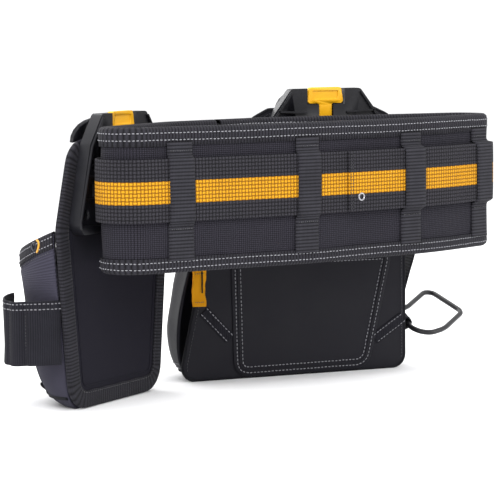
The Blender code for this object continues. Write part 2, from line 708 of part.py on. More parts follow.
def build_hood(name, frame, top):
    """The cap that curves from the bracket's top over the pouch's top edge."""
    rows = []
    for k in range(HOOD_STEPS + 1):
        angle = pi / 2 * k / HOOD_STEPS
        y = -HOOD_ROOT + (HOOD_REACH + HOOD_ROOT) * sin(angle)
        z = top - 1 - HOOD_THICK / 2 - HOOD_DROP * (1 - cos(angle))
        half = HOOD_HALF - HOOD_FLARE * (1 - sin(angle))
        rows.append([(x * half, y, z - HOOD_CROWN * x * x) for x in (-1, -0.6, -0.2, 0.2, 0.6, 1)])
    return solidify(helper(name + "_hood", shell_mesh(name + "_hood", rows), frame), HOOD_THICK)


def build_latch(letter, frame, top, pin_y):
    """The thumb latch: a T whose nose holds the hub's rail until its bar is pressed."""
    name = f"latch_{letter}"
    step = top - LATCH_BAR_HEIGHT
    end = top - LATCH_LENGTH
    half = [(LATCH_BAR_HALF - 2, top, 2), (LATCH_BAR_HALF, step + 2, 1.5), (LATCH_BAR_HALF - 2, step, 1.0),
            (LATCH_STEM_HALF, step, 1.5), (LATCH_STEM_HALF, end, 1.5)]
    mesh = panel_mesh(name, rounded(mirrored(half), 2.0), pin_y - LATCH_THICK / 2, pin_y + LATCH_THICK / 2)
    pivot = Vector((0, pin_y, top - LATCH_PIVOT_DROP)) * MM
    mesh.transform(Matrix.Translation(-pivot))
    latch = place(name, mesh, "yellow", frame @ Matrix.Translation(pivot))
    bore = rod_mesh(name + "_bore", (-9, 0, 0), (9, 0, 0), PIN_RADIUS + 0.1, 14)
    boolean(latch, helper(name + "_bore", bore, frame @ Matrix.Translation(pivot)), "DIFFERENCE")
    recess = box_mesh(name + "_recess", (-LATCH_BAR_HALF + 5, -LATCH_THICK, LATCH_PIVOT_DROP - 10.5),
                      (LATCH_BAR_HALF - 5, -LATCH_THICK / 2 + 1, LATCH_PIVOT_DROP - 3))
    boolean(latch, helper(name + "_recess", recess, frame @ Matrix.Translation(pivot)), "DIFFERENCE")


def build_screws(letter, frame, bracket, top, low_y):
    """Four screws hold the bracket to the back panel, each head sunk in a counterbore."""
    spots = [(sign * x, top - drop) for sign in (-1, 1) for x, drop in SCREW_SPOTS]
    for index, (x, z) in enumerate(spots, 1):
        head = low_y + SCREW_RECESS - SCREW_HEAD_HEIGHT
        name = f"bracket_screw_{letter}_{index}"
        bore = rod_mesh(name + "_bore", (x, low_y - 2, z), (x, low_y + SCREW_RECESS, z),
                        SCREW_HEAD_RADIUS + 0.4, 16)
        boolean(bracket, helper(name + "_bore", bore, frame), "DIFFERENCE")
        screw = rod_mesh(name, (x, head, z), (x, low_y + SCREW_RECESS - GAP, z), SCREW_HEAD_RADIUS - 1.0, 16,
                         SCREW_HEAD_RADIUS)
        place(name, screw, "steel", frame, smooth=True)


# ---------------------------------------------------------------- pockets

def pocket_rows(levels, corner, count=7):
    """Plan sections of a bag open at its back; a level is (z at back, z in front, left, right, depth)."""
    rows = []
    back = PANEL_THICK + CLOTH
    for z_back, z_front, left, right, depth in levels:
        round_x = min(corner, (right - left) / 2 - 1)
        round_y = min(corner, depth - back - 0.5)
        section = [(left, back)]
        for k in range(count):
            angle = pi / 2 * k / (count - 1)
            section.append((left + round_x * (1 - cos(angle)), depth - round_y * (1 - sin(angle))))
        for k in range(count):
            angle = pi / 2 * (1 - k / (count - 1))
            section.append((right - round_x * (1 - cos(angle)), depth - round_y * (1 - sin(angle))))
        section.append((right, back))
        rows.append([(x, y, z_back + (z_front - z_back) * min(1.0, y / depth)) for x, y in section])
    return rows


def pocket(name, frame, levels, corner, finish, thickness=CLOTH):
    mesh = shell_mesh(name, pocket_rows(levels, corner))
    return solidify(place(name, mesh, finish, frame, smooth=True), thickness)


def bag_levels(rim_back, rim_front, rim_in, sides, depth, sections):
    """A bag's levels from its rim down; sides are its widest left and right, rim_in how far in its rim is."""
    left, right = sides
    levels = [(rim_back - drop, rim_front - drop, left + rim_in[0], right - rim_in[1], depth)
              for drop in (0.0, RIM_BAND)]
    levels += [(back, front, left + left_in, right - right_in, depth - depth_in)
               for back, front, left_in, right_in, depth_in in sections]
    return levels


def build_rim(name, frame, levels, corner):
    """Tape over the top of a bag, from just above its rim down to the band's lower edge."""
    grow = CLOTH / 2 + GAP + BINDING_THICK / 2
    tape = [(back + lift, front + lift, left - grow, right + grow, depth + grow)
            for (back, front, left, right, depth), lift in zip(levels[:2], (1.0, 0.0))]
    pocket(name, frame, tape, corner, "binding", BINDING_THICK)


def side_band(corners, inset, level):
    """A band down the right side of a shape, along its foot and up its left side, open above a level."""
    wide = max(x for x, _, _ in corners)
    tall = max(z for _, z, _ in corners)
    inner = [(x * (1 - inset / wide), inset + z * (1 - 2 * inset / tall), max(2, radius - inset))
             for x, z, radius in corners]
    outer_line = [p for p in rounded(corners) if p.y <= level]
    inner_line = [p for p in rounded(inner) if p.y <= level]
    return outer_line + inner_line[::-1]


def build_pouch_a(frame):
    build_bracket("a", frame, A_TOP)
    corners = mirrored(list(A_PANEL_HALF))
    place("back_panel_a", panel_mesh("back_panel_a", rounded(corners), BINDING_THICK + GAP, PANEL_THICK),
          "panel", frame)
    tape = side_band(corners, BINDING_BAND, A_PANEL_TOP - BINDING_TOP_GAP)
    place("back_binding_a", panel_mesh("back_binding_a", tape, 0.0, BINDING_THICK), "binding", frame)
    inside = A_HALF - CLOTH
    levels = bag_levels(A_RIM_BACK, A_RIM_FRONT, (0.0, 0.0), (-inside, inside), A_DEPTH, A_SECTIONS)
    pocket("main_pocket_a", frame, levels, BAG_CORNER_A, "slate")
    build_rim("pocket_rim_a", frame, levels, BAG_CORNER_A)
    sleeve = shell_mesh("tool_sleeve_a", [[(x, y, z) for x, y in A_SLEEVE] for z in (SLEEVE_LOW, SLEEVE_HIGH)])
    solidify(place("tool_sleeve_a", sleeve, "binding", frame), SLEEVE_THICK)
    angle = radians(RIVET_ANGLE)
    out = Vector((-cos(angle), sin(angle), 0))
    corner = Vector((BAG_CORNER_A - inside, A_DEPTH - BAG_CORNER_A, A_RIM_FRONT - 1))
    base = corner + out * (BAG_CORNER_A + RIVET_STAND)
    rivet = rod_mesh("rivet_a", base, base + out * RIVET_HEIGHT, RIVET_RADIUS, 16, RIVET_RADIUS - 1)
    place("rivet_a", rivet, "steel", frame, smooth=True)


def build_pouch_b(frame):
    build_bracket("b", frame, B_TOP)
    place("back_panel_b", panel_mesh("back_panel_b", rounded(B_PANEL), BINDING_THICK + GAP, PANEL_THICK),
          "panel", frame)
    patch = panel_mesh("back_patch_b", rounded(B_PATCH), -LIP_INSET, BINDING_THICK)
    place("back_patch_b", patch, "panel", frame)
    sides = (-B_FOOT_LEFT + 2, B_RIGHT - CLOTH)
    levels = bag_levels(B_RIM_BACK, B_RIM_FRONT, (B_RIM_LEFT_IN, B_RIM_RIGHT_IN), sides, B_DEPTH, B_SECTIONS)
    pocket("main_pocket_b", frame, levels, BAG_CORNER_B, "panel")
    build_rim("pocket_rim_b", frame, levels, BAG_CORNER_B)
    build_front_pocket(frame)
    tab = box_mesh("pull_tab_b", (-B_LEFT - 12, -TAB_THICK, TAB_LOW), (-B_LEFT - 0.5, 0.0, TAB_HIGH))
    place("pull_tab_b", tab, "yellow", frame)
    edge = B_RIGHT + CLOTH
    rows = [[(edge + x, y, z) for x, z in B_STRAP] for y in (STRAP_BACK, STRAP_FRONT)]
    strap = shell_mesh("side_strap_b", rows)
    solidify(place("side_strap_b", strap, "binding", frame), STRAP_THICK)
    build_hammer_loop(frame)


def build_front_pocket(frame):
    """A shallow pocket sewn on the front of pouch B, open at its top and closed under its foot."""
    base = B_DEPTH + CLOTH / 2 + GAP + FRONT_THICK / 2 + FRONT_CLEAR
    rows = []
    for z, reach_in, half in FRONT_SECTIONS:
        reach = FRONT_POCKET_DEPTH - reach_in
        corner = min(FRONT_CORNER, reach * 0.6)
        section = [(-half, base)]
        for k in range(4):
            angle = pi / 2 * k / 3
            section.append((-half + corner * (1 - cos(angle)), base + reach - corner * (1 - sin(angle))))
        section += [(-x, y) for x, y in reversed(section)]
        rows.append([(FRONT_POCKET_MIDDLE + x, y, z) for x, y in section])
    rows.append([(x, base, FRONT_POCKET_FOOT) for x, _, _ in rows[-1]])
    front = place("front_pocket_b", shell_mesh("front_pocket_b", rows), "panel", frame, smooth=True)
    solidify(front, FRONT_THICK)


def build_hammer_loop(frame):
    """A coated wire loop that swings on its back bar inside a sewn keeper."""
    centre = Vector((B_RIGHT + HAMMER_OUT, STRAP_FRONT, HAMMER_HEIGHT))
    tilted = frame @ Matrix.Translation(centre * MM) @ Matrix.Rotation(radians(HAMMER_TILT), 4, "X")
    points = [(p.x, p.y, 0.0) for p in rounded(HAMMER_LOOP, 4.0)]
    wire = tube_mesh("hammer_loop", points, WIRE_RADIUS, closed=True)
    place("hammer_loop", wire, "wire", tilted, smooth=True)
    keeper = place("hammer_loop_keeper", box_mesh("hammer_loop_keeper", KEEPER_LOW, KEEPER_HIGH), "binding", tilted)
    start = (0, KEEPER_LOW[1] - CUT_OVER, 0)
    end = (0, KEEPER_HIGH[1] + CUT_OVER, 0)
    boolean(keeper, helper("keeper_bore", rod_mesh("keeper_bore", start, end, KEEPER_BORE, 16), tilted), "DIFFERENCE")


# ---------------------------------------------------------------- assembly

build_pad()
build_webbing()
build_belt_loops()
build_buckle()
build_hub("a", hub_a_at, A_TOP)
build_hub("b", hub_b_at, B_TOP)
build_pouch_a(ring.frame(hub_a_at, STACK))
build_pouch_b(ring.frame(hub_b_at, STACK))


def centre_on_origin():
    """Put the origin under the middle of the belt's bounding box."""
    bpy.context.view_layer.update()
    graph = bpy.context.evaluated_depsgraph_get()
    low = Vector((1e9, 1e9, 1e9))
    high = -low
    for obj in parts.objects:
        shape = obj.evaluated_get(graph)
        for vert in shape.data.vertices:
            spot = shape.matrix_world @ vert.co
            low = Vector(map(min, low, spot))
            high = Vector(map(max, high, spot))
    shift = Matrix.Translation((-(low.x + high.x) / 2, -(low.y + high.y) / 2, -low.z))
    for obj in list(parts.objects) + list(cutters.objects):
        obj.matrix_world = shift @ obj.matrix_world


centre_on_origin()
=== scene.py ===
import json
import random
from math import acos, atan2, ceil, cos, exp, pi, radians, sin, tan

import bmesh
import bpy
from mathutils import Matrix, Vector, kdtree, noise as perlin


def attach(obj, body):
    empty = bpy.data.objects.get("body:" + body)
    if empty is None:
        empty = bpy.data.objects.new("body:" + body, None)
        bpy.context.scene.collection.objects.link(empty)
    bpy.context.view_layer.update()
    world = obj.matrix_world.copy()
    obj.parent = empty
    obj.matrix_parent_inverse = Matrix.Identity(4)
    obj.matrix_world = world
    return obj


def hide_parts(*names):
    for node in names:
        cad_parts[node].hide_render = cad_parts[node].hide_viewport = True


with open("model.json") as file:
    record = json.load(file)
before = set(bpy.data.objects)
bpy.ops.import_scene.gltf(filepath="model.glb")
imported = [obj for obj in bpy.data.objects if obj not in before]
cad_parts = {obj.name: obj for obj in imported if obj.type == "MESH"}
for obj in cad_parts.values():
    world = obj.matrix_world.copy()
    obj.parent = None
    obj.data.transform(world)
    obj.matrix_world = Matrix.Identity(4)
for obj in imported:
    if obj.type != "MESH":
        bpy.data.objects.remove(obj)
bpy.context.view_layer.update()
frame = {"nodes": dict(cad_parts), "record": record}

MM = 0.001
rng = random.Random(7)

# Belt ring, in the wide pouch's frame: +X along its back panel, +Y away from the wearer
STACK = 28.0
FAR_RUN = 263.0
BUCKLE_RUN = 100.0
SIDE_RUN = 160.0
RING_DEPTH = 104.0
BUCKLE_TURN = 19.0
SIDE_TURN = 38.0
FAR_START = -71.0
NEAR_LEFT_X = -72.0
NEAR_RIGHT_X = 54.0
NEAR_RIGHT_SHARE = 0.68
TIP_RADIUS = 20.0
BEND_RADIUS = 40.0
NEAR_RADIUS = 280.0

# The webbing and its free end, out from the middle of the pad
WEB_MIDDLE = 8.3
FREE_MIDDLE = 10.6
FREE_FACE = 11.65

# Heights above the floor
PAD_LOW = 114.0
PAD_HIGH = 230.0
TOP_BINDING = 15.0
BOTTOM_BINDING = 12.0
WEB_LOW = 155.0
WEB_HIGH = 205.0
LOOP_WIDTH = 22.0
STITCH_PITCH = 3.4


# ---------------------------------------------------------------- places read from the frame

def joint(name):
    return next(j for j in frame["record"]["behaviour"]["joints"] if j["name"] == name)


LATCH_BEHIND_PANEL = 6.1  # from a back panel's belt side to its latch pin


def pouch_frame(letter):
    """The frame of a pouch, from its latch's pivot: origin on the floor, Y = 0 on its belt side."""
    latch = joint(f"latch_{letter}_press")
    x_axis = Vector(latch["axis"]).normalized()
    y_axis = Vector((-x_axis.y, x_axis.x, 0))
    origin = Vector(latch["pos_m"]) + y_axis * LATCH_BEHIND_PANEL * MM
    return Matrix(((x_axis.x, y_axis.x, 0, origin.x), (x_axis.y, y_axis.y, 0, origin.y),
                   (0, 0, 1, 0), (0, 0, 0, 1)))


POUCH_A = pouch_frame("a")
POUCH_B = pouch_frame("b")
PIVOT_DROP = 27.0
A_TOP = joint("latch_a_press")["pos_m"][2] / MM + PIVOT_DROP
B_TOP = joint("latch_b_press")["pos_m"][2] / MM + PIVOT_DROP


# ---------------------------------------------------------------- outlines and the ring

def rounded(corners, step=3.0):
    """Closed outline through (x, y, radius) corners, each corner an arc."""
    outline = []
    for i, (x, y, radius) in enumerate(corners):
        here = Vector((x, y))
        back = (Vector(corners[i - 1][:2]) - here).normalized()
        ahead = (Vector(corners[(i + 1) % len(corners)][:2]) - here).normalized()
        if radius <= 0:
            outline.append(here)
            continue
        inside = acos(max(-1.0, min(1.0, back.dot(ahead))))
        reach = radius / tan(inside / 2)
        centre = here + (back + ahead).normalized() * (radius / sin(inside / 2))
        start = here + back * reach - centre
        end = here + ahead * reach - centre
        first = atan2(start.y, start.x)
        sweep = (atan2(end.y, end.x) - first + pi) % (2 * pi) - pi
        count = max(3, ceil(abs(sweep) * radius / step))
        for k in range(count + 1):
            angle = first + sweep * k / count
            outline.append(centre + radius * Vector((cos(angle), sin(angle))))
    return outline


def resample(points, step, closed=False):
    """Points evenly spaced along a line."""
    loop = list(points) + ([points[0]] if closed else [])
    marks = [0.0]
    for a, b in zip(loop, loop[1:]):
        marks.append(marks[-1] + (b - a).length)
    count = max(2, round(marks[-1] / step))
    result = []
    k = 0
    for i in range(count + (0 if closed else 1)):
        target = marks[-1] * i / count
        while k < len(marks) - 2 and marks[k + 1] < target:
            k += 1
        run = marks[k + 1] - marks[k]
        share = (target - marks[k]) / run if run else 0.0
        result.append(loop[k].lerp(loop[k + 1], share))
    return result


def smooth_line(points, step):
    """A Catmull-Rom curve through hand-set points, evenly sampled."""
    points = [Vector(p) for p in points]
    ends = [2 * points[0] - points[1]] + points + [2 * points[-1] - points[-2]]
    dense = []
    for i in range(1, len(ends) - 2):
        a, b, c, d = ends[i - 1:i + 3]
        for k in range(12):
            t = k / 12
            dense.append(0.5 * ((2 * b) + (c - a) * t + (2 * a - 5 * b + 4 * c - d) * t * t
                                + (3 * b - a - 3 * c + d) * t ** 3))
    dense.append(points[-1])
    return resample(dense, step)


def ring_corners():
    far_left = Vector((FAR_START, -STACK))
    turn = radians(180 + BUCKLE_TURN)
    side_top = far_left + BUCKLE_RUN * Vector((cos(turn), sin(turn)))
    turn = radians(180 + SIDE_TURN)
    left_tip = side_top + SIDE_RUN * Vector((cos(turn), sin(turn)))
    right_tip = far_left + Vector((FAR_RUN, 0))
    return [(*far_left, BEND_RADIUS), (*right_tip, TIP_RADIUS),
            (NEAR_RIGHT_X, -STACK - RING_DEPTH * NEAR_RIGHT_SHARE, NEAR_RADIUS),
            (NEAR_LEFT_X, -STACK - RING_DEPTH, NEAR_RADIUS),
            (*left_tip, TIP_RADIUS), (*side_top, BEND_RADIUS)]


class Ring:
    """The middle line of the pad, in millimetres in the wide pouch's frame, clockwise from above."""

    def __init__(self):
        self.points = resample(rounded(ring_corners()), 1.0, closed=True)
        self.length = sum((b - a).length for a, b in zip(self.points, self.points[1:] + self.points[:1]))
        self.pace = self.length / len(self.points)

        self.tree = kdtree.KDTree(len(self.points))
        for i, spot in enumerate(self.points):
            self.tree.insert((spot.x, spot.y, 0.0), i)
        self.tree.balance()

    def point(self, s):
        place = (s % self.length) / self.pace
        i = int(place) % len(self.points)
        return self.points[i].lerp(self.points[(i + 1) % len(self.points)], place - int(place))

    def normal(self, s):
        run = (self.point(s + 3) - self.point(s - 3)).normalized()
        return Vector((-run.y, run.x))

    def at(self, s, outward, z):
        spot = self.point(s) + self.normal(s) * outward
        return Vector((spot.x, spot.y, z))

    def nearest(self, x, y):
        return self.tree.find((x, y, 0.0))[1] * self.pace

    def frame(self, s):
        normal = self.normal(s)
        spot = self.point(s)
        return Matrix(((normal.y, normal.x, 0, spot.x), (-normal.x, normal.y, 0, spot.y),
                       (0, 0, 1, 0), (0, 0, 0, 1)))

    def span(self, start, end, step):
        length = (end - start) % self.length
        count = max(2, ceil(length / step))
        return [start + length * k / count for k in range(count + 1)]


ring = Ring()
corners_of_ring = ring_corners()
buckle_at = ring.nearest(*((Vector(corners_of_ring[0][:2]) + Vector(corners_of_ring[5][:2])) / 2))
free_end_at = ring.nearest(-35.0, corners_of_ring[3][1])
near_y = corners_of_ring[3][1]
LOOP_PLACES = [ring.nearest(NEAR_LEFT_X - 120, near_y), ring.nearest(NEAR_LEFT_X - 3, near_y),
               ring.nearest(NEAR_RIGHT_X - 24, corners_of_ring[2][1]),
               ring.nearest(NEAR_RIGHT_X + 62, corners_of_ring[2][1] + 28),
               ring.nearest(71, -STACK), ring.nearest(FAR_START + 20, -STACK)]


# ---------------------------------------------------------------- shader building

def socket_or_value(tree, target, value):
    if isinstance(value, bpy.types.NodeSocket):
        tree.links.new(value, target)
    else:
        target.default_value = value


def calc(tree, operation, a, b=0.0, clamp=False):
    node = tree.nodes.new("ShaderNodeMath")
    node.operation = operation
    node.use_clamp = clamp
    socket_or_value(tree, node.inputs[0], a)
    socket_or_value(tree, node.inputs[1], b)
    return node.outputs[0]


def blend_colour(tree, share, first, second):
    node = tree.nodes.new("ShaderNodeMix")
    node.data_type = "RGBA"
    socket_or_value(tree, node.inputs["Factor"], share)
    for target, value in ((node.inputs[6], first), (node.inputs[7], second)):
        if isinstance(value, bpy.types.NodeSocket):
            tree.links.new(value, target)
        else:
            target.default_value = (*value, 1.0)
    return node.outputs[2]


def noise(tree, scale, detail=3.0, roughness=0.55, coordinates="Object"):
    where = tree.nodes.new("ShaderNodeTexCoord")
    node = tree.nodes.new("ShaderNodeTexNoise")
    node.inputs["Scale"].default_value = scale
    node.inputs["Detail"].default_value = detail
    node.inputs["Roughness"].default_value = roughness
    tree.links.new(where.outputs[coordinates], node.inputs["Vector"])
    return node.outputs["Fac"]


def uv_axes(tree):
    where = tree.nodes.new("ShaderNodeTexCoord")
    split = tree.nodes.new("ShaderNodeSeparateXYZ")
    tree.links.new(where.outputs["UV"], split.inputs[0])
    return split.outputs[0], split.outputs[1]


def over_under(tree, u, v, pitch_u, pitch_v):
    """Height of a plain weave, from 0 to 1."""
    u = calc(tree, "DIVIDE", u, pitch_u)
    v = calc(tree, "DIVIDE", v, pitch_v)
    parity = calc(tree, "MODULO", calc(tree, "ADD", calc(tree, "FLOOR", u), calc(tree, "FLOOR", v)), 2.0)
    parity = calc(tree, "ABSOLUTE", parity)
    hump_u = calc(tree, "SINE", calc(tree, "MULTIPLY", calc(tree, "FRACT", u), pi))
    hump_v = calc(tree, "SINE", calc(tree, "MULTIPLY", calc(tree, "FRACT", v), pi))
    along_u = calc(tree, "MULTIPLY", hump_v, calc(tree, "ADD", calc(tree, "MULTIPLY", hump_u, 0.55), 0.45))
    along_v = calc(tree, "MULTIPLY", hump_u, calc(tree, "ADD", calc(tree, "MULTIPLY", hump_v, 0.55), 0.45))
    first = calc(tree, "MULTIPLY", along_u, parity)
    second = calc(tree, "MULTIPLY", along_v, calc(tree, "SUBTRACT", 1.0, parity))
    return calc(tree, "ADD", first, second)


def new_material(name, roughness, metallic=0.0, sheen=0.0, coat=0.0, specular=0.5):
    mat = bpy.data.materials.new(name)
    mat.use_nodes = True
    tree = mat.node_tree
    shader = tree.nodes["Principled BSDF"]
    shader.inputs["Roughness"].default_value = roughness
    shader.inputs["Metallic"].default_value = metallic
    shader.inputs["Sheen Weight"].default_value = sheen
    shader.inputs["Sheen Roughness"].default_value = 0.5
    shader.inputs["Coat Weight"].default_value = coat
    shader.inputs["Coat Roughness"].default_value = 0.35
    shader.inputs["Specular IOR Level"].default_value = specular
    return mat, tree, shader


def add_bump(tree, shader, height, distance, strength=1.0):
    bump = tree.nodes.new("ShaderNodeBump")
    bump.inputs["Strength"].default_value = strength
    bump.inputs["Distance"].default_value = distance
    tree.links.new(height, bump.inputs["Height"])
    tree.links.new(bump.outputs["Normal"], shader.inputs["Normal"])


def woven(name, dark, light, pitch_u, pitch_v, roughness=0.85, sheen=0.25, depth=0.0004, mottle=0.35,
          stripe=None):
    """Woven cloth; stripe is (low, high, dark, light) across V for a coloured band of threads."""
    mat, tree, shader = new_material(name, roughness, sheen=sheen, specular=0.10)
    u, v = uv_axes(tree)
    height = over_under(tree, u, v, pitch_u, pitch_v)
    blotch = noise(tree, 55.0, 3.0)
    fibre = noise(tree, 2200.0, 2.0)
    # Colour follows the weave's height: the hollows between threads are painted darker as shade and the crests
    # lighter; the blotch and fibre noise add random tone.
    shade = calc(tree, "MULTIPLY", calc(tree, "POWER", height, 0.8), calc(tree, "ADD", calc(
        tree, "MULTIPLY", blotch, mottle * 2), 1.0 - mottle))
    fuzz = calc(tree, "ADD", calc(tree, "MULTIPLY", fibre, 0.6), 0.7)
    shade = calc(tree, "MULTIPLY", shade, fuzz, clamp=True)
    colour = blend_colour(tree, shade, dark, light)
    if stripe is not None:
        low, high, stripe_dark, stripe_light = stripe
        row = calc(tree, "FLOOR", calc(tree, "DIVIDE", v, pitch_v))
        row = calc(tree, "MULTIPLY", calc(tree, "ADD", row, 0.5), pitch_v)
        above = calc(tree, "GREATER_THAN", row, low)
        inside = calc(tree, "MULTIPLY", above, calc(tree, "LESS_THAN", row, high))
        # The stripe's threads carry the same painted shade in their hollows.
        bright = blend_colour(tree, shade, stripe_dark, stripe_light)
        colour = blend_colour(tree, inside, colour, bright)
    tree.links.new(colour, shader.inputs["Base Color"])
    worn = calc(tree, "ADD", calc(tree, "MULTIPLY", blotch, 0.2), roughness - 0.1)
    tree.links.new(worn, shader.inputs["Roughness"])
    mixed = calc(tree, "ADD", height, calc(tree, "MULTIPLY", fibre, 0.25))
    add_bump(tree, shader, mixed, depth)
    return mat


def ribbed(name, dark, light, pitch, along_u=True, roughness=0.8, depth=0.0003, sheen=0.05):
    """Grosgrain tape: raised ribs with fine threads between them."""
    mat, tree, shader = new_material(name, roughness, sheen=sheen, specular=0.12)
    u, v = uv_axes(tree)
    across = u if along_u else v
    other = v if along_u else u
    wave = calc(tree, "ABSOLUTE", calc(tree, "SINE", calc(tree, "MULTIPLY", across, pi / pitch)))
    thread = calc(tree, "ABSOLUTE", calc(tree, "SINE", calc(tree, "MULTIPLY", other, pi / (pitch * 0.45))))
    blotch = noise(tree, 70.0, 3.0)
    fibre = noise(tree, 2500.0, 2.0)
    # Colour follows the rib height: the valleys between ribs are painted darker as shade and the crests lighter;
    # the blotch and fibre noise add random tone.
    shade = calc(tree, "MULTIPLY", calc(tree, "ADD", calc(tree, "MULTIPLY", wave, 0.75), calc(
        tree, "MULTIPLY", thread, 0.25)), calc(tree, "ADD", calc(tree, "MULTIPLY", blotch, 0.7), 0.6))
    fuzz = calc(tree, "ADD", calc(tree, "MULTIPLY", fibre, 0.6), 0.7)
    shade = calc(tree, "MULTIPLY", shade, fuzz, clamp=True)
    tree.links.new(blend_colour(tree, shade, dark, light), shader.inputs["Base Color"])
    worn = calc(tree, "ADD", calc(tree, "MULTIPLY", blotch, 0.2), roughness - 0.1)
    tree.links.new(worn, shader.inputs["Roughness"])
    mixed = calc(tree, "ADD", wave, calc(tree, "MULTIPLY", thread, 0.3))
    add_bump(tree, shader, mixed, depth)
    return mat


def coated(name, dark, light, roughness=0.6, grain=1500.0, depth=0.00012, sheen=0.04):
    """Smooth coated cloth with a fine pebbled grain and soft creases."""
    mat, tree, shader = new_material(name, roughness, sheen=sheen, specular=0.22)
    pebble = noise(tree, grain, 2.0)
    cloud = noise(tree, 28.0, 4.0)
    crease = noise(tree, 90.0, 2.0)
    cloudy = calc(tree, "MULTIPLY", cloud, 0.7)
    shade = calc(tree, "ADD", cloudy, calc(tree, "MULTIPLY", pebble, 0.3), clamp=True)
    tree.links.new(blend_colour(tree, shade, dark, light), shader.inputs["Base Color"])
    worn = calc(tree, "ADD", calc(tree, "MULTIPLY", cloud, 0.25), roughness - 0.12)
    tree.links.new(worn, shader.inputs["Roughness"])
    mixed = calc(tree, "ADD", pebble, calc(tree, "MULTIPLY", crease, 2.0))
    add_bump(tree, shader, mixed, depth)
    return mat


def moulded(name, dark, light, roughness=0.45, grain=1800.0, depth=0.00006, coat=0.0):
    """Moulded plastic with a fine spark-eroded grain, paler where handling has rubbed it."""
    mat, tree, shader = new_material(name, roughness, coat=coat, specular=0.38)
    pebble = noise(tree, grain, 2.0)
    rub = noise(tree, 60.0, 5.0, 0.7)
    shade = calc(tree, "ADD", calc(tree, "MULTIPLY", calc(tree, "POWER", rub, 2.0), 0.9), calc(
        tree, "MULTIPLY", pebble, 0.15), clamp=True)
    tree.links.new(blend_colour(tree, shade, dark, light), shader.inputs["Base Color"])
    worn = calc(tree, "ADD", calc(tree, "MULTIPLY", rub, 0.3), roughness - 0.15)
    tree.links.new(worn, shader.inputs["Roughness"])
    add_bump(tree, shader, pebble, depth)
    return mat


def metal(name, dark, light, roughness=0.32):
    mat, tree, shader = new_material(name, roughness, metallic=1.0)
    scratch = noise(tree, 900.0, 4.0, 0.7)
    cloud = noise(tree, 120.0, 3.0)
    tree.links.new(blend_colour(tree, cloud, dark, light), shader.inputs["Base Color"])
    worn = calc(tree, "ADD", calc(tree, "MULTIPLY", scratch, 0.35), roughness - 0.15)
    tree.links.new(worn, shader.inputs["Roughness"])
    add_bump(tree, shader, scratch, 0.00003)
    return mat


def thread_material(name, dark, light):
    mat, tree, shader = new_material(name, 0.75, sheen=0.3)
    twist = noise(tree, 4000.0, 1.0)
    tree.links.new(blend_colour(tree, twist, dark, light), shader.inputs["Base Color"])
    add_bump(tree, shader, twist, 0.0001)
    return mat


STRIPE_LOW = 0.0190
STRIPE_HIGH = 0.0375
# Each woven and ribbed cloth's darker colour is painted shade for the hollows between its threads or ribs.
M = {
    "webbing": woven("webbing_weave", (0.0003, 0.0003, 0.0006), (0.040, 0.038, 0.046), 0.0030, 0.0030,
                     depth=0.0012, sheen=0.02, mottle=0.2, stripe=(STRIPE_LOW, STRIPE_HIGH, (0.09, 0.022, 0.001),
                                                     (0.74, 0.35, 0.016))),
    "cover": woven("pad_cover_weave", (0.0010, 0.0010, 0.0018), (0.032, 0.030, 0.040), 0.0019, 0.0016,
                   sheen=0.02, depth=0.0004, mottle=0.2),
    "lining": woven("pad_lining_mesh", (0.0015, 0.0015, 0.0025), (0.030, 0.030, 0.036), 0.0026, 0.0022,
                    sheen=0.02, depth=0.0006),
    "binding": ribbed("binding_ribs", (0.0003, 0.0003, 0.0007), (0.028, 0.027, 0.034), 0.0028, sheen=0.02,
                      depth=0.0005),
    "strap": ribbed("loop_strap_ribs", (0.0006, 0.0006, 0.0012), (0.036, 0.035, 0.043), 0.0028, along_u=False,
                    sheen=0.02, depth=0.0005),
    "slate": woven("slate_weave", (0.016, 0.015, 0.023), (0.058, 0.055, 0.080), 0.0009, 0.0009, depth=0.0002,
                   sheen=0.03, mottle=0.2),
    "black": coated("black_coated_cloth", (0.0025, 0.0022, 0.0048), (0.0060, 0.0055, 0.0105), sheen=0.01),
    "panel": woven("panel_weave", (0.0032, 0.0028, 0.0055), (0.0140, 0.0130, 0.0210), 0.0008, 0.0008,
                   depth=0.00015, sheen=0.02, mottle=0.2),
    "twill": woven("sleeve_twill", (0.0015, 0.0015, 0.0025), (0.024, 0.0235, 0.031), 0.0018, 0.0009,
                   depth=0.0003, sheen=0.02),
    "piping": ribbed("piping_ribs", (0.0008, 0.0008, 0.0014), (0.0110, 0.0108, 0.0150), 0.0010),
    "tab": woven("yellow_tab_weave", (0.62, 0.22, 0.003), (0.88, 0.40, 0.010), 0.0009, 0.0009, sheen=0.02),
    "plastic": moulded("black_plastic", (0.0040, 0.0040, 0.0058), (0.0130, 0.0130, 0.0180), roughness=0.42),
    "yellow": moulded("yellow_plastic", (0.83, 0.40, 0.004), (0.93, 0.50, 0.012), roughness=0.42, coat=0.1),
    "wire": moulded("wire_coat", (0.0050, 0.0050, 0.0065), (0.0150, 0.0150, 0.0190), roughness=0.32),
    "metal": metal("plated_steel", (0.28, 0.28, 0.30), (0.45, 0.45, 0.47)),
    "dark_metal": metal("blackened_steel", (0.02, 0.02, 0.025), (0.06, 0.06, 0.07), roughness=0.35),
    "white_thread": thread_material("white_thread", (0.14, 0.14, 0.16), (0.34, 0.34, 0.37)),
    "black_thread": thread_material("black_thread", (0.004, 0.004, 0.006), (0.03, 0.03, 0.038)),
    "yellow_thread": thread_material("yellow_thread", (0.50, 0.22, 0.01), (0.85, 0.42, 0.03)),
}


# ---------------------------------------------------------------- mesh building

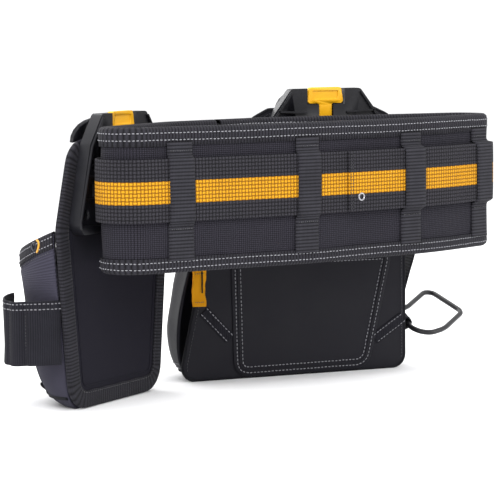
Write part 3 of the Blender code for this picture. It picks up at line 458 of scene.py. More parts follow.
def make(name, verts, faces, uvs, material, body, matrix=POUCH_B, smooth=True):
    """A piece from points in millimetres in a pouch's frame, with UVs in metres."""
    mesh = bpy.data.meshes.new(name)
    mesh.from_pydata([matrix @ (Vector(v) * MM) for v in verts], [], faces)
    layer = mesh.uv_layers.new(name="flow")
    for polygon in mesh.polygons:
        for loop in polygon.loop_indices:
            layer.data[loop].uv = uvs[mesh.loops[loop].vertex_index]
    mesh.materials.append(M[material])
    if smooth:
        mesh.shade_smooth()
    obj = bpy.data.objects.new(name, mesh)
    bpy.context.scene.collection.objects.link(obj)
    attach(obj, body)
    return obj


def sheet_grid(name, rows, material, body, matrix=POUCH_B, closed=False, origin_v=0.0, flip_uv=False):
    """A surface through rows of points; U runs along a row and V from row to row."""
    width = len(rows[0])
    verts = [p for row in rows for p in row]
    along = [0.0]
    for a, b in zip(rows[0], rows[0][1:]):
        along.append(along[-1] + (Vector(b) - Vector(a)).length * MM)
    middle = width // 2
    across = [origin_v]
    for a, b in zip(rows, rows[1:]):
        across.append(across[-1] + (Vector(b[middle]) - Vector(a[middle])).length * MM)
    uvs = [(v, u) if flip_uv else (u, v) for v in across for u in along]
    faces = []
    for r in range(len(rows) - 1):
        for c in range(width - 1 + (1 if closed else 0)):
            n = (c + 1) % width
            faces.append((r * width + c, r * width + n, (r + 1) * width + n, (r + 1) * width + c))
    return make(name, verts, faces, uvs, material, body, matrix)


def thicken(obj, thickness, offset=0.0):
    mod = obj.modifiers.new("thickness", "SOLIDIFY")
    mod.thickness = thickness * MM
    mod.offset = offset
    mod.use_even_offset = True
    return obj


def soften(obj, width, segments=2, angle=40):
    mod = obj.modifiers.new("soft_edges", "BEVEL")
    mod.width = width * MM
    mod.segments = segments
    mod.limit_method = "ANGLE"
    mod.angle_limit = radians(angle)
    mod.harden_normals = False
    return obj


def outline_solid(name, outline, y_low, y_high, material, body, matrix, edge=0.6, segments=2):
    """A flat outline in X and Z given thickness along Y, with softened edges."""
    bm = bmesh.new()
    base = [bm.verts.new((p[0], y_low, p[1])) for p in outline]
    face = bm.faces.new(base)
    grown = bmesh.ops.extrude_face_region(bm, geom=[face])["geom"]
    moved = [v for v in grown if isinstance(v, bmesh.types.BMVert)]
    bmesh.ops.translate(bm, vec=(0, y_high - y_low, 0), verts=moved)
    bmesh.ops.recalc_face_normals(bm, faces=bm.faces)
    if edge:
        sharp = [e for e in bm.edges if e.calc_face_angle(0.0) > radians(40)]
        bmesh.ops.bevel(bm, geom=sharp, offset=edge, segments=segments, affect="EDGES", clamp_overlap=True)
    layer = bm.loops.layers.uv.new("flow")
    for f in bm.faces:
        for loop in f.loops:
            loop[layer].uv = (loop.vert.co.x * MM, loop.vert.co.z * MM)
    bmesh.ops.scale(bm, vec=(MM, MM, MM), verts=bm.verts)
    bm.transform(matrix)
    mesh = bpy.data.meshes.new(name)
    bm.to_mesh(mesh)
    bm.free()
    return finish_piece(name, mesh, material, body)


def finish_piece(name, mesh, material, body, angle=38):
    mesh.materials.append(M[material])
    mesh.shade_smooth()
    mesh.set_sharp_from_angle(angle=radians(angle))
    obj = bpy.data.objects.new(name, mesh)
    bpy.context.scene.collection.objects.link(obj)
    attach(obj, body)
    return obj


def tube(name, points, radius, material, body, matrix=POUCH_B, closed=False, sides=10):
    """A round cord of cloth or wire along points."""
    points = [Vector(p) for p in points]
    count = len(points)
    rows = []
    normal = None
    for i, here in enumerate(points):
        back = points[i - 1] if (i > 0 or closed) else here
        ahead = points[(i + 1) % count] if (i < count - 1 or closed) else here
        along = (ahead - back).normalized()
        if normal is None:
            normal = along.orthogonal().normalized()
        normal = (normal - along * normal.dot(along)).normalized()
        side = along.cross(normal)
        rows.append([here + radius * (cos(2 * pi * k / sides) * normal + sin(2 * pi * k / sides) * side)
                     for k in range(sides)])
    verts = [p for row in rows for p in row]
    faces = []
    length = 0.0
    uvs = []
    for i, row in enumerate(rows):
        if i:
            length += (points[i] - points[i - 1]).length * MM
        uvs += [(length, 2 * pi * radius * MM * k / sides) for k in range(sides)]
    for r in range(count - (0 if closed else 1)):
        n = (r + 1) % count
        for c in range(sides):
            d = (c + 1) % sides
            faces.append((r * sides + c, n * sides + c, n * sides + d, r * sides + d))
    if not closed:
        faces.append(tuple(range(sides)))
        faces.append(tuple(reversed(range((count - 1) * sides, count * sides))))
    return make(name, verts, faces, uvs, material, body, matrix)


def stitches(name, lines, body, matrix=POUCH_B, material="white_thread", pitch=STITCH_PITCH, share=0.66,
             width=0.85):
    """Rows of thread stitches; a line is (points, outward) with outward a function of a point or a vector."""
    verts, faces, uvs = [], [], []
    profile = ((0.0, 0.0), (0.18, 0.8), (0.5, 1.0), (0.82, 0.8), (1.0, 0.0))
    for points, outward in lines:
        dense = resample([Vector(p) for p in points], pitch)
        for a, b in zip(dense, dense[1:]):
            out = (outward(a) if callable(outward) else Vector(outward)).normalized()
            run = (b - a) * share
            along = run.normalized()
            side = along.cross(out).normalized()
            skew = side * rng.uniform(-0.12, 0.12) + along * rng.uniform(-0.15, 0.15)
            base = len(verts)
            for t, size in profile:
                middle = a + run * t + skew + out * (0.10 * size)
                half = width / 2 * max(size, 0.25)
                verts += [middle - side * half, middle + out * half * 1.0, middle + side * half,
                          middle - out * half * 0.8]
                uvs += [(t * MM, k * 0.0003) for k in range(4)]
            for r in range(len(profile) - 1):
                for c in range(4):
                    d = (c + 1) % 4
                    faces.append((base + r * 4 + c, base + r * 4 + d, base + (r + 1) * 4 + d,
                                  base + (r + 1) * 4 + c))
            faces.append(tuple(base + k for k in (3, 2, 1, 0)))
            top = base + (len(profile) - 1) * 4
            faces.append(tuple(top + k for k in range(4)))
    return make(name, verts, faces, uvs, material, body, matrix)


def puff(obj, voxel, pressure, cap, held, frames=20):
    """Swell a padded piece with a short cloth simulation, holding each point near its start."""
    scene = bpy.context.scene
    bpy.ops.object.select_all(action="DESELECT")
    obj.select_set(True)
    bpy.context.view_layer.objects.active = obj
    remesh = obj.modifiers.new("remesh", "REMESH")
    remesh.mode = "VOXEL"
    remesh.voxel_size = voxel * MM
    bpy.ops.object.modifier_apply(modifier=remesh.name)
    start = [v.co.copy() for v in obj.data.vertices]
    group = obj.vertex_groups.new(name="held")
    group.add([i for i, co in enumerate(start) if held(co)], 1.0, "REPLACE")
    cloth = obj.modifiers.new("swell", "CLOTH")
    cloth.settings.use_pressure = True
    cloth.settings.uniform_pressure_force = pressure
    cloth.settings.effector_weights.gravity = 0.0
    cloth.settings.vertex_group_mass = group.name
    cloth.point_cache.frame_start = 1
    cloth.point_cache.frame_end = frames
    for number in range(1, frames + 1):
        scene.frame_set(number)
    graph = bpy.context.evaluated_depsgraph_get()
    swollen = [v.co.copy() for v in obj.evaluated_get(graph).data.vertices]
    obj.modifiers.remove(cloth)
    for vert, before, after in zip(obj.data.vertices, start, swollen):
        move = after - before
        if move.length > cap * MM:
            move = move.normalized() * cap * MM
        vert.co = before + move
    scene.frame_set(1)
    obj.vertex_groups.clear()
    fine = obj.modifiers.new("fine", "SUBSURF")
    fine.levels = 1
    fine.render_levels = 1
    obj.data.shade_smooth()


# ---------------------------------------------------------------- the padded belt

def pad_surface(side, z):
    """How far the quilted pad stands out from its middle line."""
    share = (z - PAD_LOW) / (PAD_HIGH - PAD_LOW)
    crown = 1.0 - abs(2 * share - 1) ** 4
    return side * (3.4 + 1.55 * crown)


def build_pad():
    start, end = buckle_at + 2.5, buckle_at - 2.5
    stations = ring.span(start, end, 4.0)
    low, high = PAD_LOW + 1.3, PAD_HIGH - 1.3
    steps = 22
    section = [(1, low + (high - low) * k / steps) for k in range(steps + 1)]
    section += [(-1, low + (high - low) * k / steps) for k in range(steps, -1, -1)]
    verts, uvs, faces = [], [], []
    for s in stations:
        for side, z in section:
            verts.append(ring.at(s, pad_surface(side, z), z))
            uvs.append(((s - start) % ring.length * MM, z * MM + (0.2 if side < 0 else 0.0)))
    width = len(section)
    for r in range(len(stations) - 1):
        for c in range(width):
            d = (c + 1) % width
            faces.append((r * width + c, (r + 1) * width + c, (r + 1) * width + d, r * width + d))
    faces.append(tuple(range(width)))
    faces.append(tuple(reversed(range((len(stations) - 1) * width, len(stations) * width))))
    pad = make("pad", verts, faces, uvs, "cover", "belt")
    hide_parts("pad_cover", "pad_lining", "pad_foam")
    wrinkle_pad(pad)
    puff(pad, 4.5, 4.0, 1.1, held_at_edges)
    map_pad(pad)
    return pad


def held_at_edges(point):
    """The tape, and the webbing drawn round the pad, hold the cover still."""
    spot = POUCH_B.inverted() @ point / MM
    s = ring.nearest(spot.x, spot.y)
    outside = (Vector((spot.x, spot.y)) - ring.point(s)).dot(ring.normal(s)) > 0
    under_web = outside and WEB_LOW + 4 < spot.z < WEB_HIGH - 4
    return spot.z > PAD_HIGH - 9 or spot.z < PAD_LOW + 8 or under_web


def map_pad(pad):
    """UVs in metres round the ring and up it, and the inner face's own cloth."""
    mesh = pad.data
    inverse = POUCH_B.inverted()
    layer = mesh.uv_layers.get("flow") or mesh.uv_layers.new(name="flow")
    if len(mesh.materials) < 2:
        mesh.materials.append(M["lining"])
    spots = []
    for vert in mesh.vertices:
        p = inverse @ vert.co / MM
        s = ring.nearest(p.x, p.y)
        outside = (Vector((p.x, p.y)) - ring.point(s)).dot(ring.normal(s)) > 0
        spots.append((((s - buckle_at) % ring.length * MM, p.z * MM), outside))
    for polygon in mesh.polygons:
        inner = sum(0 if spots[v][1] else 1 for v in polygon.vertices)
        polygon.material_index = 1 if inner > len(polygon.vertices) / 2 else 0
        for loop in polygon.loop_indices:
            layer.data[loop].uv = spots[mesh.loops[loop].vertex_index][0]


def wrinkle_pad(pad):
    """Soft vertical puckers where the tape pulls the cover in."""
    inverse = POUCH_B.inverted()
    for vert in pad.data.vertices:
        p = inverse @ vert.co / MM
        share = (p.z - PAD_LOW) / (PAD_HIGH - PAD_LOW)
        edge = exp(-((share - 0.14) / 0.10) ** 2) + exp(-((share - 0.86) / 0.10) ** 2)
        s = ring.nearest(p.x, p.y)
        ripple = sin(s / 7.3) * 0.5 + sin(s / 4.1 + 1.3) * 0.3 + sin(s / 13.0 + 0.4) * 0.4
        normal = ring.normal(s)
        side = 1 if (Vector((p.x, p.y)) - ring.point(s)).dot(normal) > 0 else -1
        move = normal * side * ripple * edge * 0.35
        vert.co = POUCH_B @ (Vector((p.x + move.x, p.y + move.y, p.z)) * MM)


def binding_rows(s_values, top, wave):
    """Folded tape over the pad's edge: down the inner side, over, and down the outer side."""
    edge = PAD_HIGH if top else PAD_LOW
    down = -1 if top else 1
    deep = TOP_BINDING if top else BOTTOM_BINDING
    rows = []
    profile = [(-5.3, deep), (-5.75, deep * 0.55), (-5.7, 4.5), (-5.0, 1.9), (-3.2, 0.55), (0.0, 0.4),
               (3.2, 0.55), (5.0, 1.9), (5.7, 4.5), (5.75, deep * 0.55), (5.3, deep)]
    for s in s_values:
        sway = 0.35 * sin(s / 37.0 + wave) + 0.2 * sin(s / 11.0 + 2 * wave)
        rows.append([ring.at(s, outward, edge + down * (depth + (sway if depth > 2 else 0.0)))
                     for outward, depth in profile])
    return rows


def build_bindings():
    start, end = buckle_at + 2.2, buckle_at - 2.2
    stations = ring.span(start, end, 3.0)
    for name, top, node in (("pad_binding_top", True, "pad_top_binding"),
                            ("pad_binding_bottom", False, "pad_bottom_binding")):
        rows = binding_rows(stations, top, 0.0 if top else 1.9)
        turned = [list(column) for column in zip(*rows)]
        tape = sheet_grid(name, turned, "binding", "belt")
        thicken(tape, 0.7)
        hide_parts(node)
        lines = []
        edge = PAD_HIGH if top else PAD_LOW
        down = -1 if top else 1
        for depth in ((4.8, 10.4) if top else (4.2, 9.2)):
            for side in (1, -1):
                line = [ring.at(s, side * 6.2, edge + down * (depth + 0.2 * sin(s / 23.0))) for s in stations]
                lines.append((line, outward_at(side)))
        stitches(name + "_stitches", lines, "belt")


def outward_at(side):
    def outward(point):
        normal = ring.normal(ring.nearest(point.x, point.y))
        return Vector((normal.x * side, normal.y * side, 0))
    return outward


def strip_along(name, start, end, middle, low, high, material, node, sag=None):
    stations = ring.span(start, end, 2.5)
    count = 9
    rows = []
    for k in range(count + 1):
        z = low + (high - low) * k / count
        rows.append([ring.at(s, middle + (sag(s, k / count) if sag else 0.0), z) for s in stations])
    strip = sheet_grid(name, rows, material, "belt", origin_v=(low - WEB_LOW) * MM + 0.0035)
    thicken(strip, 1.7)
    soften(strip, 0.5)
    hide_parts(node)
    return strip


def build_webbing():
    half = 37.4
    start, end = buckle_at + half, buckle_at - half

    def lie(s, share):
        return 0.18 * sin(s / 31.0) - 0.3 * abs(2 * share - 1) ** 3

    strip_along("webbing_band", start, end, WEB_MIDDLE, WEB_LOW, WEB_HIGH, "webbing", "webbing", lie)
    strip_along("webbing_tail", start, free_end_at, FREE_MIDDLE, WEB_LOW, WEB_HIGH, "webbing",
                "webbing_free_end", lie)
    tip = free_end_at
    lines = []
    for inset in (1.6, 4.0):
        points = [ring.at(tip - inset, FREE_FACE, WEB_LOW + 2 + 46 * k / 14) for k in range(15)]
        lines.append((points, outward_at(1)))
    stitches("webbing_tail_stitches", lines, "belt", material="black_thread", pitch=2.6, width=0.7)
    build_eyelet(tip)


def lathe(name, profile, centre, axis, material, body, matrix=POUCH_B, sides=28):
    """A turned shape: profile of (radius, height) round an axis."""
    axis = Vector(axis).normalized()
    first = axis.orthogonal().normalized()
    second = axis.cross(first)
    centre = Vector(centre)
    verts, uvs, faces = [], [], []
    for radius, height in profile:
        for k in range(sides):
            angle = 2 * pi * k / sides
            verts.append(centre + axis * height + radius * (cos(angle) * first + sin(angle) * second))
            uvs.append((radius * angle * MM, height * MM))
    for r in range(len(profile) - 1):
        for c in range(sides):
            d = (c + 1) % sides
            faces.append((r * sides + c, r * sides + d, (r + 1) * sides + d, (r + 1) * sides + c))
    if profile[0][0] > 0.01 and profile[0] != profile[-1]:
        faces.append(tuple(reversed(range(sides))))
        faces.append(tuple((len(profile) - 1) * sides + k for k in range(sides)))
    obj = make(name, verts, faces, uvs, material, body, matrix)
    obj.data.set_sharp_from_angle(angle=radians(50))
    return obj


def build_eyelet(tip):
    spot = ring.at(tip - 12.8, 11.4, WEB_LOW + 12.0)
    normal = ring.normal(tip - 12.8)
    ring_profile = [(1.9, -0.6), (2.0, 0.35), (2.5, 0.75), (3.2, 0.6), (3.6, 0.1), (3.5, -0.6), (1.9, -0.6)]
    eyelet = lathe("tail_eyelet", ring_profile, spot, (normal.x, normal.y, 0), "metal", "belt")
    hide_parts("webbing_eyelet")
    # A dark disc closing the eyelet's hole: painted shade standing in for the open hole.
    hole = lathe("tail_eyelet_hole_shade", [(0.01, 0.05), (1.2, 0.04), (2.0, 0.0), (2.0, -0.4)], spot,
                 (normal.x, normal.y, 0), "dark_metal", "belt", sides=20)
    return hole


def build_loops():
    for index, s in enumerate(LOOP_PLACES, 1):
        crown = (12.3 if index > 2 else 10.0) + 0.2
        local = ring.frame(s)
        top, low = PAD_HIGH - TOP_BINDING + 3.0, PAD_LOW + BOTTOM_BINDING - 2.5
        side = [(6.6, top), (6.4, top - 4), (6.2, WEB_HIGH + 4.0), (7.2, WEB_HIGH + 1.6),
                (crown - 0.3, WEB_HIGH - 1.0), (crown + 0.15, WEB_HIGH - 8),
                (crown + 0.3, (WEB_LOW + WEB_HIGH) / 2), (crown + 0.15, WEB_LOW + 8),
                (crown - 0.3, WEB_LOW + 1.0), (7.2, WEB_LOW - 1.8), (6.2, WEB_LOW - 4.5), (6.2, WEB_LOW - 14),
                (6.4, low + 3), (6.6, low)]
        line = smooth_line([(0, y, z) for y, z in side], 2.0)
        half = LOOP_WIDTH / 2
        rows = []
        lean = 0.5 * sin(index * 2.1)
        for p in line:
            row = []
            for k in range(7):
                x = -half + 2 * half * k / 6
                bow = -0.25 * (x / half) ** 2
                row.append(local @ Vector((x + lean * (p.z - 172) / 50, p.y + bow, p.z)))
            rows.append(row)
        strap = sheet_grid(f"belt_loop_strap_{index}", rows, "strap", "belt")
        thicken(strap, 1.0)
        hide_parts(f"belt_loop_{index}")
        lines = []
        for z in (WEB_LOW - 6.0, WEB_HIGH + 6.0):
            points = [local @ Vector((x, 6.95, z)) for x in (-half + 1.2, -half / 2, 0, half / 2, half - 1.2)]
            lines.append((points, outward_at(1)))
        stitches(f"belt_loop_tack_{index}", lines, "belt", material="black_thread", pitch=1.9,
                 width=0.7)


build_pad()
build_bindings()
build_webbing()
build_loops()


# ---------------------------------------------------------------- hard parts

def dress(node, material):
    obj = frame["nodes"][node]
    obj.data.materials.clear()
    obj.data.materials.append(M[material])
    return obj


def body_of(node):
    return next(name for name, nodes in frame["record"]["behaviour"]["bodies"].items() if node in nodes)


def moulded_copy(node, material, width=0.5, segments=2):
    """A hard piece with its edges eased, as a moulding has."""
    source = frame["nodes"][node]
    bm = bmesh.new()
    bm.from_mesh(source.data)
    bm.transform(source.matrix_world)
    bmesh.ops.remove_doubles(bm, verts=bm.verts, dist=1e-6)
    bmesh.ops.dissolve_limit(bm, angle_limit=radians(2), verts=bm.verts, edges=bm.edges)
    edges = [e for e in bm.edges if len(e.link_faces) == 2 and e.calc_face_angle(0.0) > radians(38)
             and e.calc_length() > 1.2 * width * MM]
    bmesh.ops.bevel(bm, geom=edges, offset=width * MM, segments=segments, affect="EDGES", clamp_overlap=True)
    layer = bm.loops.layers.uv.new("flow")
    for face in bm.faces:
        for loop in face.loops:
            loop[layer].uv = (loop.vert.co.x + loop.vert.co.y, loop.vert.co.z)
    mesh = bpy.data.meshes.new("moulded_" + node)
    bm.to_mesh(mesh)
    bm.free()
    obj = finish_piece("moulded_" + node, mesh, material, body_of(node))
    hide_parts(node)
    return obj


for letter in "ab":
    moulded_copy(f"hub_{letter}", "plastic", 0.6)
    moulded_copy(f"bracket_{letter}", "plastic", 0.5)
    moulded_copy(f"latch_{letter}", "yellow", 0.6)
    dress(f"latch_pin_{letter}", "metal")
for node in ("buckle_housing", "buckle_plug"):
    moulded_copy(node, "plastic", 0.9, 3)
for node in ("buckle_arm_upper", "buckle_arm_lower"):
    moulded_copy(node, "plastic", 0.4)


SCREW_SPOTS = ((46.0, 42.0), (58.0, 81.0))
BRACKET_FRONT = -10.3
BRACKET_DROP = 97.0


def build_screws(letter, matrix, top):
    """Cross-head screws sunk in the bracket's legs."""
    spots = [(sign * x, top - drop) for sign in (-1, 1) for x, drop in SCREW_SPOTS]
    for index, (x, z) in enumerate(spots, 1):
        name = f"screw_{letter}_{index}"
        head = lathe(name, [(0.01, 0.55), (1.2, 0.5), (2.6, 0.15), (3.5, -0.45), (3.7, -1.1)], (x, -8.9, z),
                     (0, -1, 0), "dark_metal", f"pouch_{letter}", matrix, sides=24)
        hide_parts(f"bracket_screw_{letter}_{index}")
        turn = radians(20 + 37 * index)
        for k in range(2):
            angle = turn + k * pi / 2
            reach = Vector((cos(angle), 0, sin(angle))) * 1.7
            middle = Vector((x, -9.5, z))
            # The cross recess is drawn as two raised cords of the darker piping cloth: painted shade standing in
            # for the recess.
            tube(f"{name}_slot_{k}", [middle - reach, middle, middle + reach], 0.32, "piping",
                 f"pouch_{letter}", matrix, sides=6)


def wall_along(name, points, width, low, high, body, matrix):
    """A thin upright rib along a flat line of (x, z) points."""
    points = [Vector(p) for p in points]
    left, right = [], []
    for i, p in enumerate(points):
        run = (points[min(i + 1, len(points) - 1)] - points[max(i - 1, 0)]).normalized()
        side = Vector((-run.y, run.x)) * width / 2
        left.append(p + side)
        right.append(p - side)
    return outline_solid(name, left + right[::-1], low, high, "plastic", body, matrix, 0.35)


def build_ladder(letter, matrix, top):
    """Raised ribs round each leg of a bracket and across it, like a ladder."""
    body = f"pouch_{letter}"
    low, high = BRACKET_FRONT - 2.2, BRACKET_FRONT + 0.3
    foot = top - BRACKET_DROP
    for side, sign in (("left", -1), ("right", 1)):
        outer = [(sign * x, z) for x, z in ((33.0, top - 4), (49.6, top - 27), (67.2, foot + 10),
                                            (66.2, foot + 5))]
        inner = [(sign * x, z) for x, z in ((26.5, top - 30), (27.2, top - 60), (30.2, foot + 5))]
        name = f"bracket_{letter}_rib_{side}"
        wall_along(name + "_outer", outer, 2.0, low, high, body, matrix)
        wall_along(name + "_inner", inner, 2.0, low, high, body, matrix)
        for index, (drop, near, far) in enumerate(((22.0, 18.5, 46.0), (52.0, 27.0, 57.5), (70.0, 28.0, 62.0),
                                                   (91.5, 30.2, 66.4))):
            line = [(sign * near, top - drop), (sign * far, top - drop + 1.5)]
            wall_along(f"{name}_{index}", line, 1.8, low, high, body, matrix)


# ---------------------------------------------------------------- soft shapes

def crumple(point, size, depth, seed=0.0):
    """Soft dents of a cloth surface at a point in millimetres."""
    return depth * perlin.noise(Vector(point) / size + Vector((seed, 0.3 * seed, 0.7 * seed)))


def pillow(name, outline, y_face, y_back, bulge, material, body, matrix, edge=1.2, dents=0.35):
    """A flat cushion: its face swells toward the belt, its back is flat."""
    line = resample(outline, 5.0, closed=True)
    middle = Vector((sum(p[0] for p in line) / len(line), sum(p[1] for p in line) / len(line)))
    shares = [1.0, 0.985, 0.95, 0.88, 0.78, 0.66, 0.52, 0.38, 0.24, 0.11]
    verts, uvs, faces = [], [], []

    def add_ring(share, y_at, pull):
        for p in line:
            inward = (middle - p).normalized()
            spot = middle + (p - middle) * share + inward * pull
            verts.append((spot.x, y_at(spot), spot.y))
            uvs.append((spot.x * MM, spot.y * MM))

    add_ring(1.0, lambda q: y_back, edge * 0.4)
    add_ring(1.0, lambda q: (y_face + y_back) / 2, 0.0)
    for share in shares:
        swell = bulge * (1 - share ** 3)
        pull = edge * max(0.0, (share - 0.95) * 20) * 0.4
        lift = edge * 0.35 if share == 1.0 else 0.0
        add_ring(share, lambda q, swell=swell, share=share, lift=lift: y_face - swell + lift
                 + crumple((q.x, 0, q.y), 34.0, dents * (1 - share ** 6)), pull)
    count = len(line)
    rings = len(verts) // count
    for r in range(rings - 1):
        for c in range(count):
            n = (c + 1) % count
            faces.append((r * count + c, r * count + n, (r + 1) * count + n, (r + 1) * count + c))
    faces.append(tuple(range((rings - 1) * count, rings * count)))
    faces.append(tuple(reversed(range(count))))
    piece = make(name, verts, faces, uvs, material, body, matrix)
    fix_normals(piece)
    return piece


def fix_normals(obj):
    bm = bmesh.new()
    bm.from_mesh(obj.data)
    bmesh.ops.recalc_face_normals(bm, faces=bm.faces)
    bm.to_mesh(obj.data)
    bm.free()
    obj.data.shade_smooth()


def edge_frames(line, closed):
    """Each point of a flat line with the direction that points into the shape on its right."""
    frames = []
    count = len(line)
    for i, p in enumerate(line):
        back = line[i - 1] if (i or closed) else p
        ahead = line[(i + 1) % count] if (i < count - 1 or closed) else p
        run = (ahead - back).normalized()
        frames.append((p, Vector((run.y, -run.x))))
    return frames


def fold_tape(name, line, profile, material, body, matrix, closed=False, thickness=0.7, wave=0.25):
    """Tape folded over a panel's edge: profile is (in from the edge, y) across the tape."""
    rows = []
    frames = edge_frames(line, closed)
    for depth, y in profile:
        row = []
        for k, (p, inward) in enumerate(frames):
            sway = wave * sin(k * 0.9) if depth > 4 else 0.0
            q = p + inward * (depth + sway)
            row.append((q.x, y, q.y))
        rows.append(row)
    if closed:
        rows = [row + row[:1] for row in rows]
    tape = sheet_grid(name, rows, material, body, matrix)
    fix_normals(tape)
    thicken(tape, thickness)
    return tape


def flat_line(line, inset, y, closed=False):
    """A line of points set in from an edge, at a depth of y."""
    return [(p.x + n.x * inset, y, p.y + n.y * inset) for p, n in edge_frames(line, closed)]


class Bag:
    """A pouch's wall: plan sections, open at the back, blended smoothly between levels."""

    def __init__(self, levels, corner, back=6.5, columns=84):
        self.levels = levels
        self.corner = corner
        self.back = back
        self.columns = columns
        self.cache = {}

    def level(self, t):
        last = len(self.levels) - 1
        t = max(0.0, min(last, t))
        i = min(int(t), last - 1)
        share = t - i
        a, b = self.levels[i], self.levels[i + 1]
        before = self.levels[i - 1] if i else a
        after = self.levels[i + 2] if i + 2 <= last else b
        values = []
        for k in range(5):
            slope_a = (b[k] - before[k]) / 2 if i else b[k] - a[k]
            slope_b = (after[k] - a[k]) / 2 if i + 2 <= last else b[k] - a[k]
            h = share
            values.append(a[k] * (2 * h ** 3 - 3 * h * h + 1) + slope_a * (h ** 3 - 2 * h * h + h)
                          + b[k] * (3 * h * h - 2 * h ** 3) + slope_b * (h ** 3 - h * h))
        return values

    def section(self, t):
        key = round(t, 4)
        if key in self.cache:
            return self.cache[key]
        z_back, z_front, left, right, depth = self.level(t)
        depth = max(depth, self.back + 2.0)
        round_x = min(self.corner, (right - left) / 2 - 1)
        round_y = min(self.corner, depth - self.back - 0.5)
        line = [Vector((left, self.back))]
        for k in range(17):
            angle = pi / 2 * k / 16
            line.append(Vector((left + round_x * (1 - cos(angle)), depth - round_y * (1 - sin(angle)))))
        for k in range(17):
            angle = pi / 2 * (1 - k / 16)
            line.append(Vector((right - round_x * (1 - cos(angle)), depth - round_y * (1 - sin(angle)))))
        line.append(Vector((right, self.back)))
        line = resample(line, sum((b - a).length for a, b in zip(line, line[1:])) / self.columns)
        points = []
        for i, p in enumerate(line):
            run = (line[min(i + 1, len(line) - 1)] - line[max(i - 1, 0)]).normalized()
            out = Vector((-run.y, run.x))
            z = z_back + (z_front - z_back) * min(1.0, p.y / depth)
            points.append((p, out, max(1.3, z)))
        self.cache[key] = points
        return points

    def point(self, t, u, out=0.0, lift=0.0):
        points = self.section(t)
        place = u * (len(points) - 1)
        i = min(int(place), len(points) - 2)
        share = place - i
        (p, n, z), (q, m, w) = points[i], points[i + 1]
        spot = p.lerp(q, share) + n.lerp(m, share) * out
        return Vector((spot.x, spot.y, z + (w - z) * share + lift))

    def build(self, name, material, body, matrix, node, thickness=2.4, dents=0.8, seed=1.0):
        steps = (len(self.levels) - 1) * 5
        rows = []
        for r in range(steps + 1):
            t = (len(self.levels) - 1) * r / steps
            row = []
            for i in range(self.columns + 1):
                u = i / self.columns
                p = self.point(t, u)
                hold = min(1.0, u * 12, (1 - u) * 12) * min(1.0, t * 1.5) * min(1.0, (steps - r) / 12)
                row.append(self.point(t, u, crumple(p, 30.0, dents * hold, seed)))
            rows.append(row)
        wall = sheet_grid(name, rows, material, body, matrix)
        fix_normals(wall)
        thicken(wall, thickness)
        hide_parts(node)
        return wall

    def tape(self, name, drop, outs, material, body, slot, matrix, node, u_span=(0.0, 1.0)):
        """Tape folded over the rim, down to a share of the first level gap on each side."""
        profile = [(drop, outs[1], 0.0), (drop * 0.5, outs[1] + 0.1, 0.0), (0.06, outs[1], 0.3),
                   (0.0, outs[1] * 0.6, 1.2), (0.0, 0.0, 1.5), (0.0, -outs[0] * 0.6, 1.2),
                   (0.06, -outs[0], 0.3), (drop * 0.5, -outs[0], 0.0), (drop, -outs[0], 0.0)]
        steps = 96
        rows = [[self.point(t, u_span[0] + (u_span[1] - u_span[0]) * k / steps, out, lift)
                 for k in range(steps + 1)] for t, out, lift in profile]
        tape = sheet_grid(name, rows, material, body, matrix)
        fix_normals(tape)
        thicken(tape, 0.7)
        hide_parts(node)
        return tape

    def outward(self, t):
        def direction(point):
            spot = min(self.section(t), key=lambda item: (item[0] - Vector((point.x, point.y))).length)
            return Vector((spot[1].x, spot[1].y, 0))
        return direction

    def row(self, t, out, start=0.0, end=1.0, steps=110):
        return [self.point(t, start + (end - start) * k / steps, out) for k in range(steps + 1)]


# ---------------------------------------------------------------- the tall pouch

CLOTH = 2.5
PANEL_BACK = 4.0
RIM_BAND = 12.0
A_PANEL_TOP = 221.0
A_HALF = 82.0
A_FOOT_HALF = 66.0
A_DEPTH = 67.0
A_RIM_BACK = 148.0
A_RIM_FRONT = 122.0
A_BINDING = 14.0
A_CORNER = 60.0
SLEEVE_LOW = 39.0
SLEEVE_HIGH = 91.0


def mirrored(half):
    return half + [(-x, z, radius) for x, z, radius in reversed(half)]


def build_panel_a():
    corners = mirrored([(30, A_PANEL_TOP, 6), (62, A_PANEL_TOP - 5, 24), (A_HALF, 148, 30),
                        (A_FOOT_HALF, 0.4, 24)])
    outline = rounded(corners)
    panel = pillow("tall_panel", outline, 1.3, PANEL_BACK, 0.5, "panel", "pouch_a", POUCH_A)
    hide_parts("back_panel_a")
    edge = resample([p for p in outline if p.y <= A_PANEL_TOP - 4], 3.0)
    profile = [(A_BINDING, 0.75), (A_BINDING - 0.8, 0.35), (8.0, 0.2), (2.5, 0.35), (0.8, 0.9), (0.3, 2.2),
               (0.5, 3.6), (1.6, 4.7), (4.2, 5.0)]
    tape = fold_tape("tall_panel_binding", edge, profile, "binding", "pouch_a", POUCH_A)
    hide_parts("back_binding_a")
    hem = flat_line(edge, A_BINDING - 1.6, -0.15)
    stitches("tall_panel_hem", [(hem, (0, -1, 0))], "pouch_a", POUCH_A, "black_thread", 2.6,
             width=0.6)
    crease = flat_line(edge, A_BINDING + 4.0, 0.9)
    tube("tall_panel_crease", crease, 0.45, "panel", "pouch_a", POUCH_A, sides=6)


def a_levels():
    inside = A_HALF - CLOTH
    taper = A_HALF - A_FOOT_HALF
    levels = [(A_RIM_BACK, A_RIM_FRONT, -inside, inside, A_DEPTH),
              (A_RIM_BACK - RIM_BAND, A_RIM_FRONT - RIM_BAND, -inside, inside, A_DEPTH)]
    for back, front, side_in, depth_in in ((100, 96, taper * 0.25, 0), (60, 58, taper * 0.62, 2),
                                           (30, 28, taper * 0.88, 6), (12, 10, taper * 1.12, 16),
                                           (1.3, 1.3, taper + 12, 30), (1.3, 1.3, taper + 24, A_DEPTH - 10)):
        levels.append((back, front, -inside + side_in, inside - side_in, A_DEPTH - depth_in))
    return levels


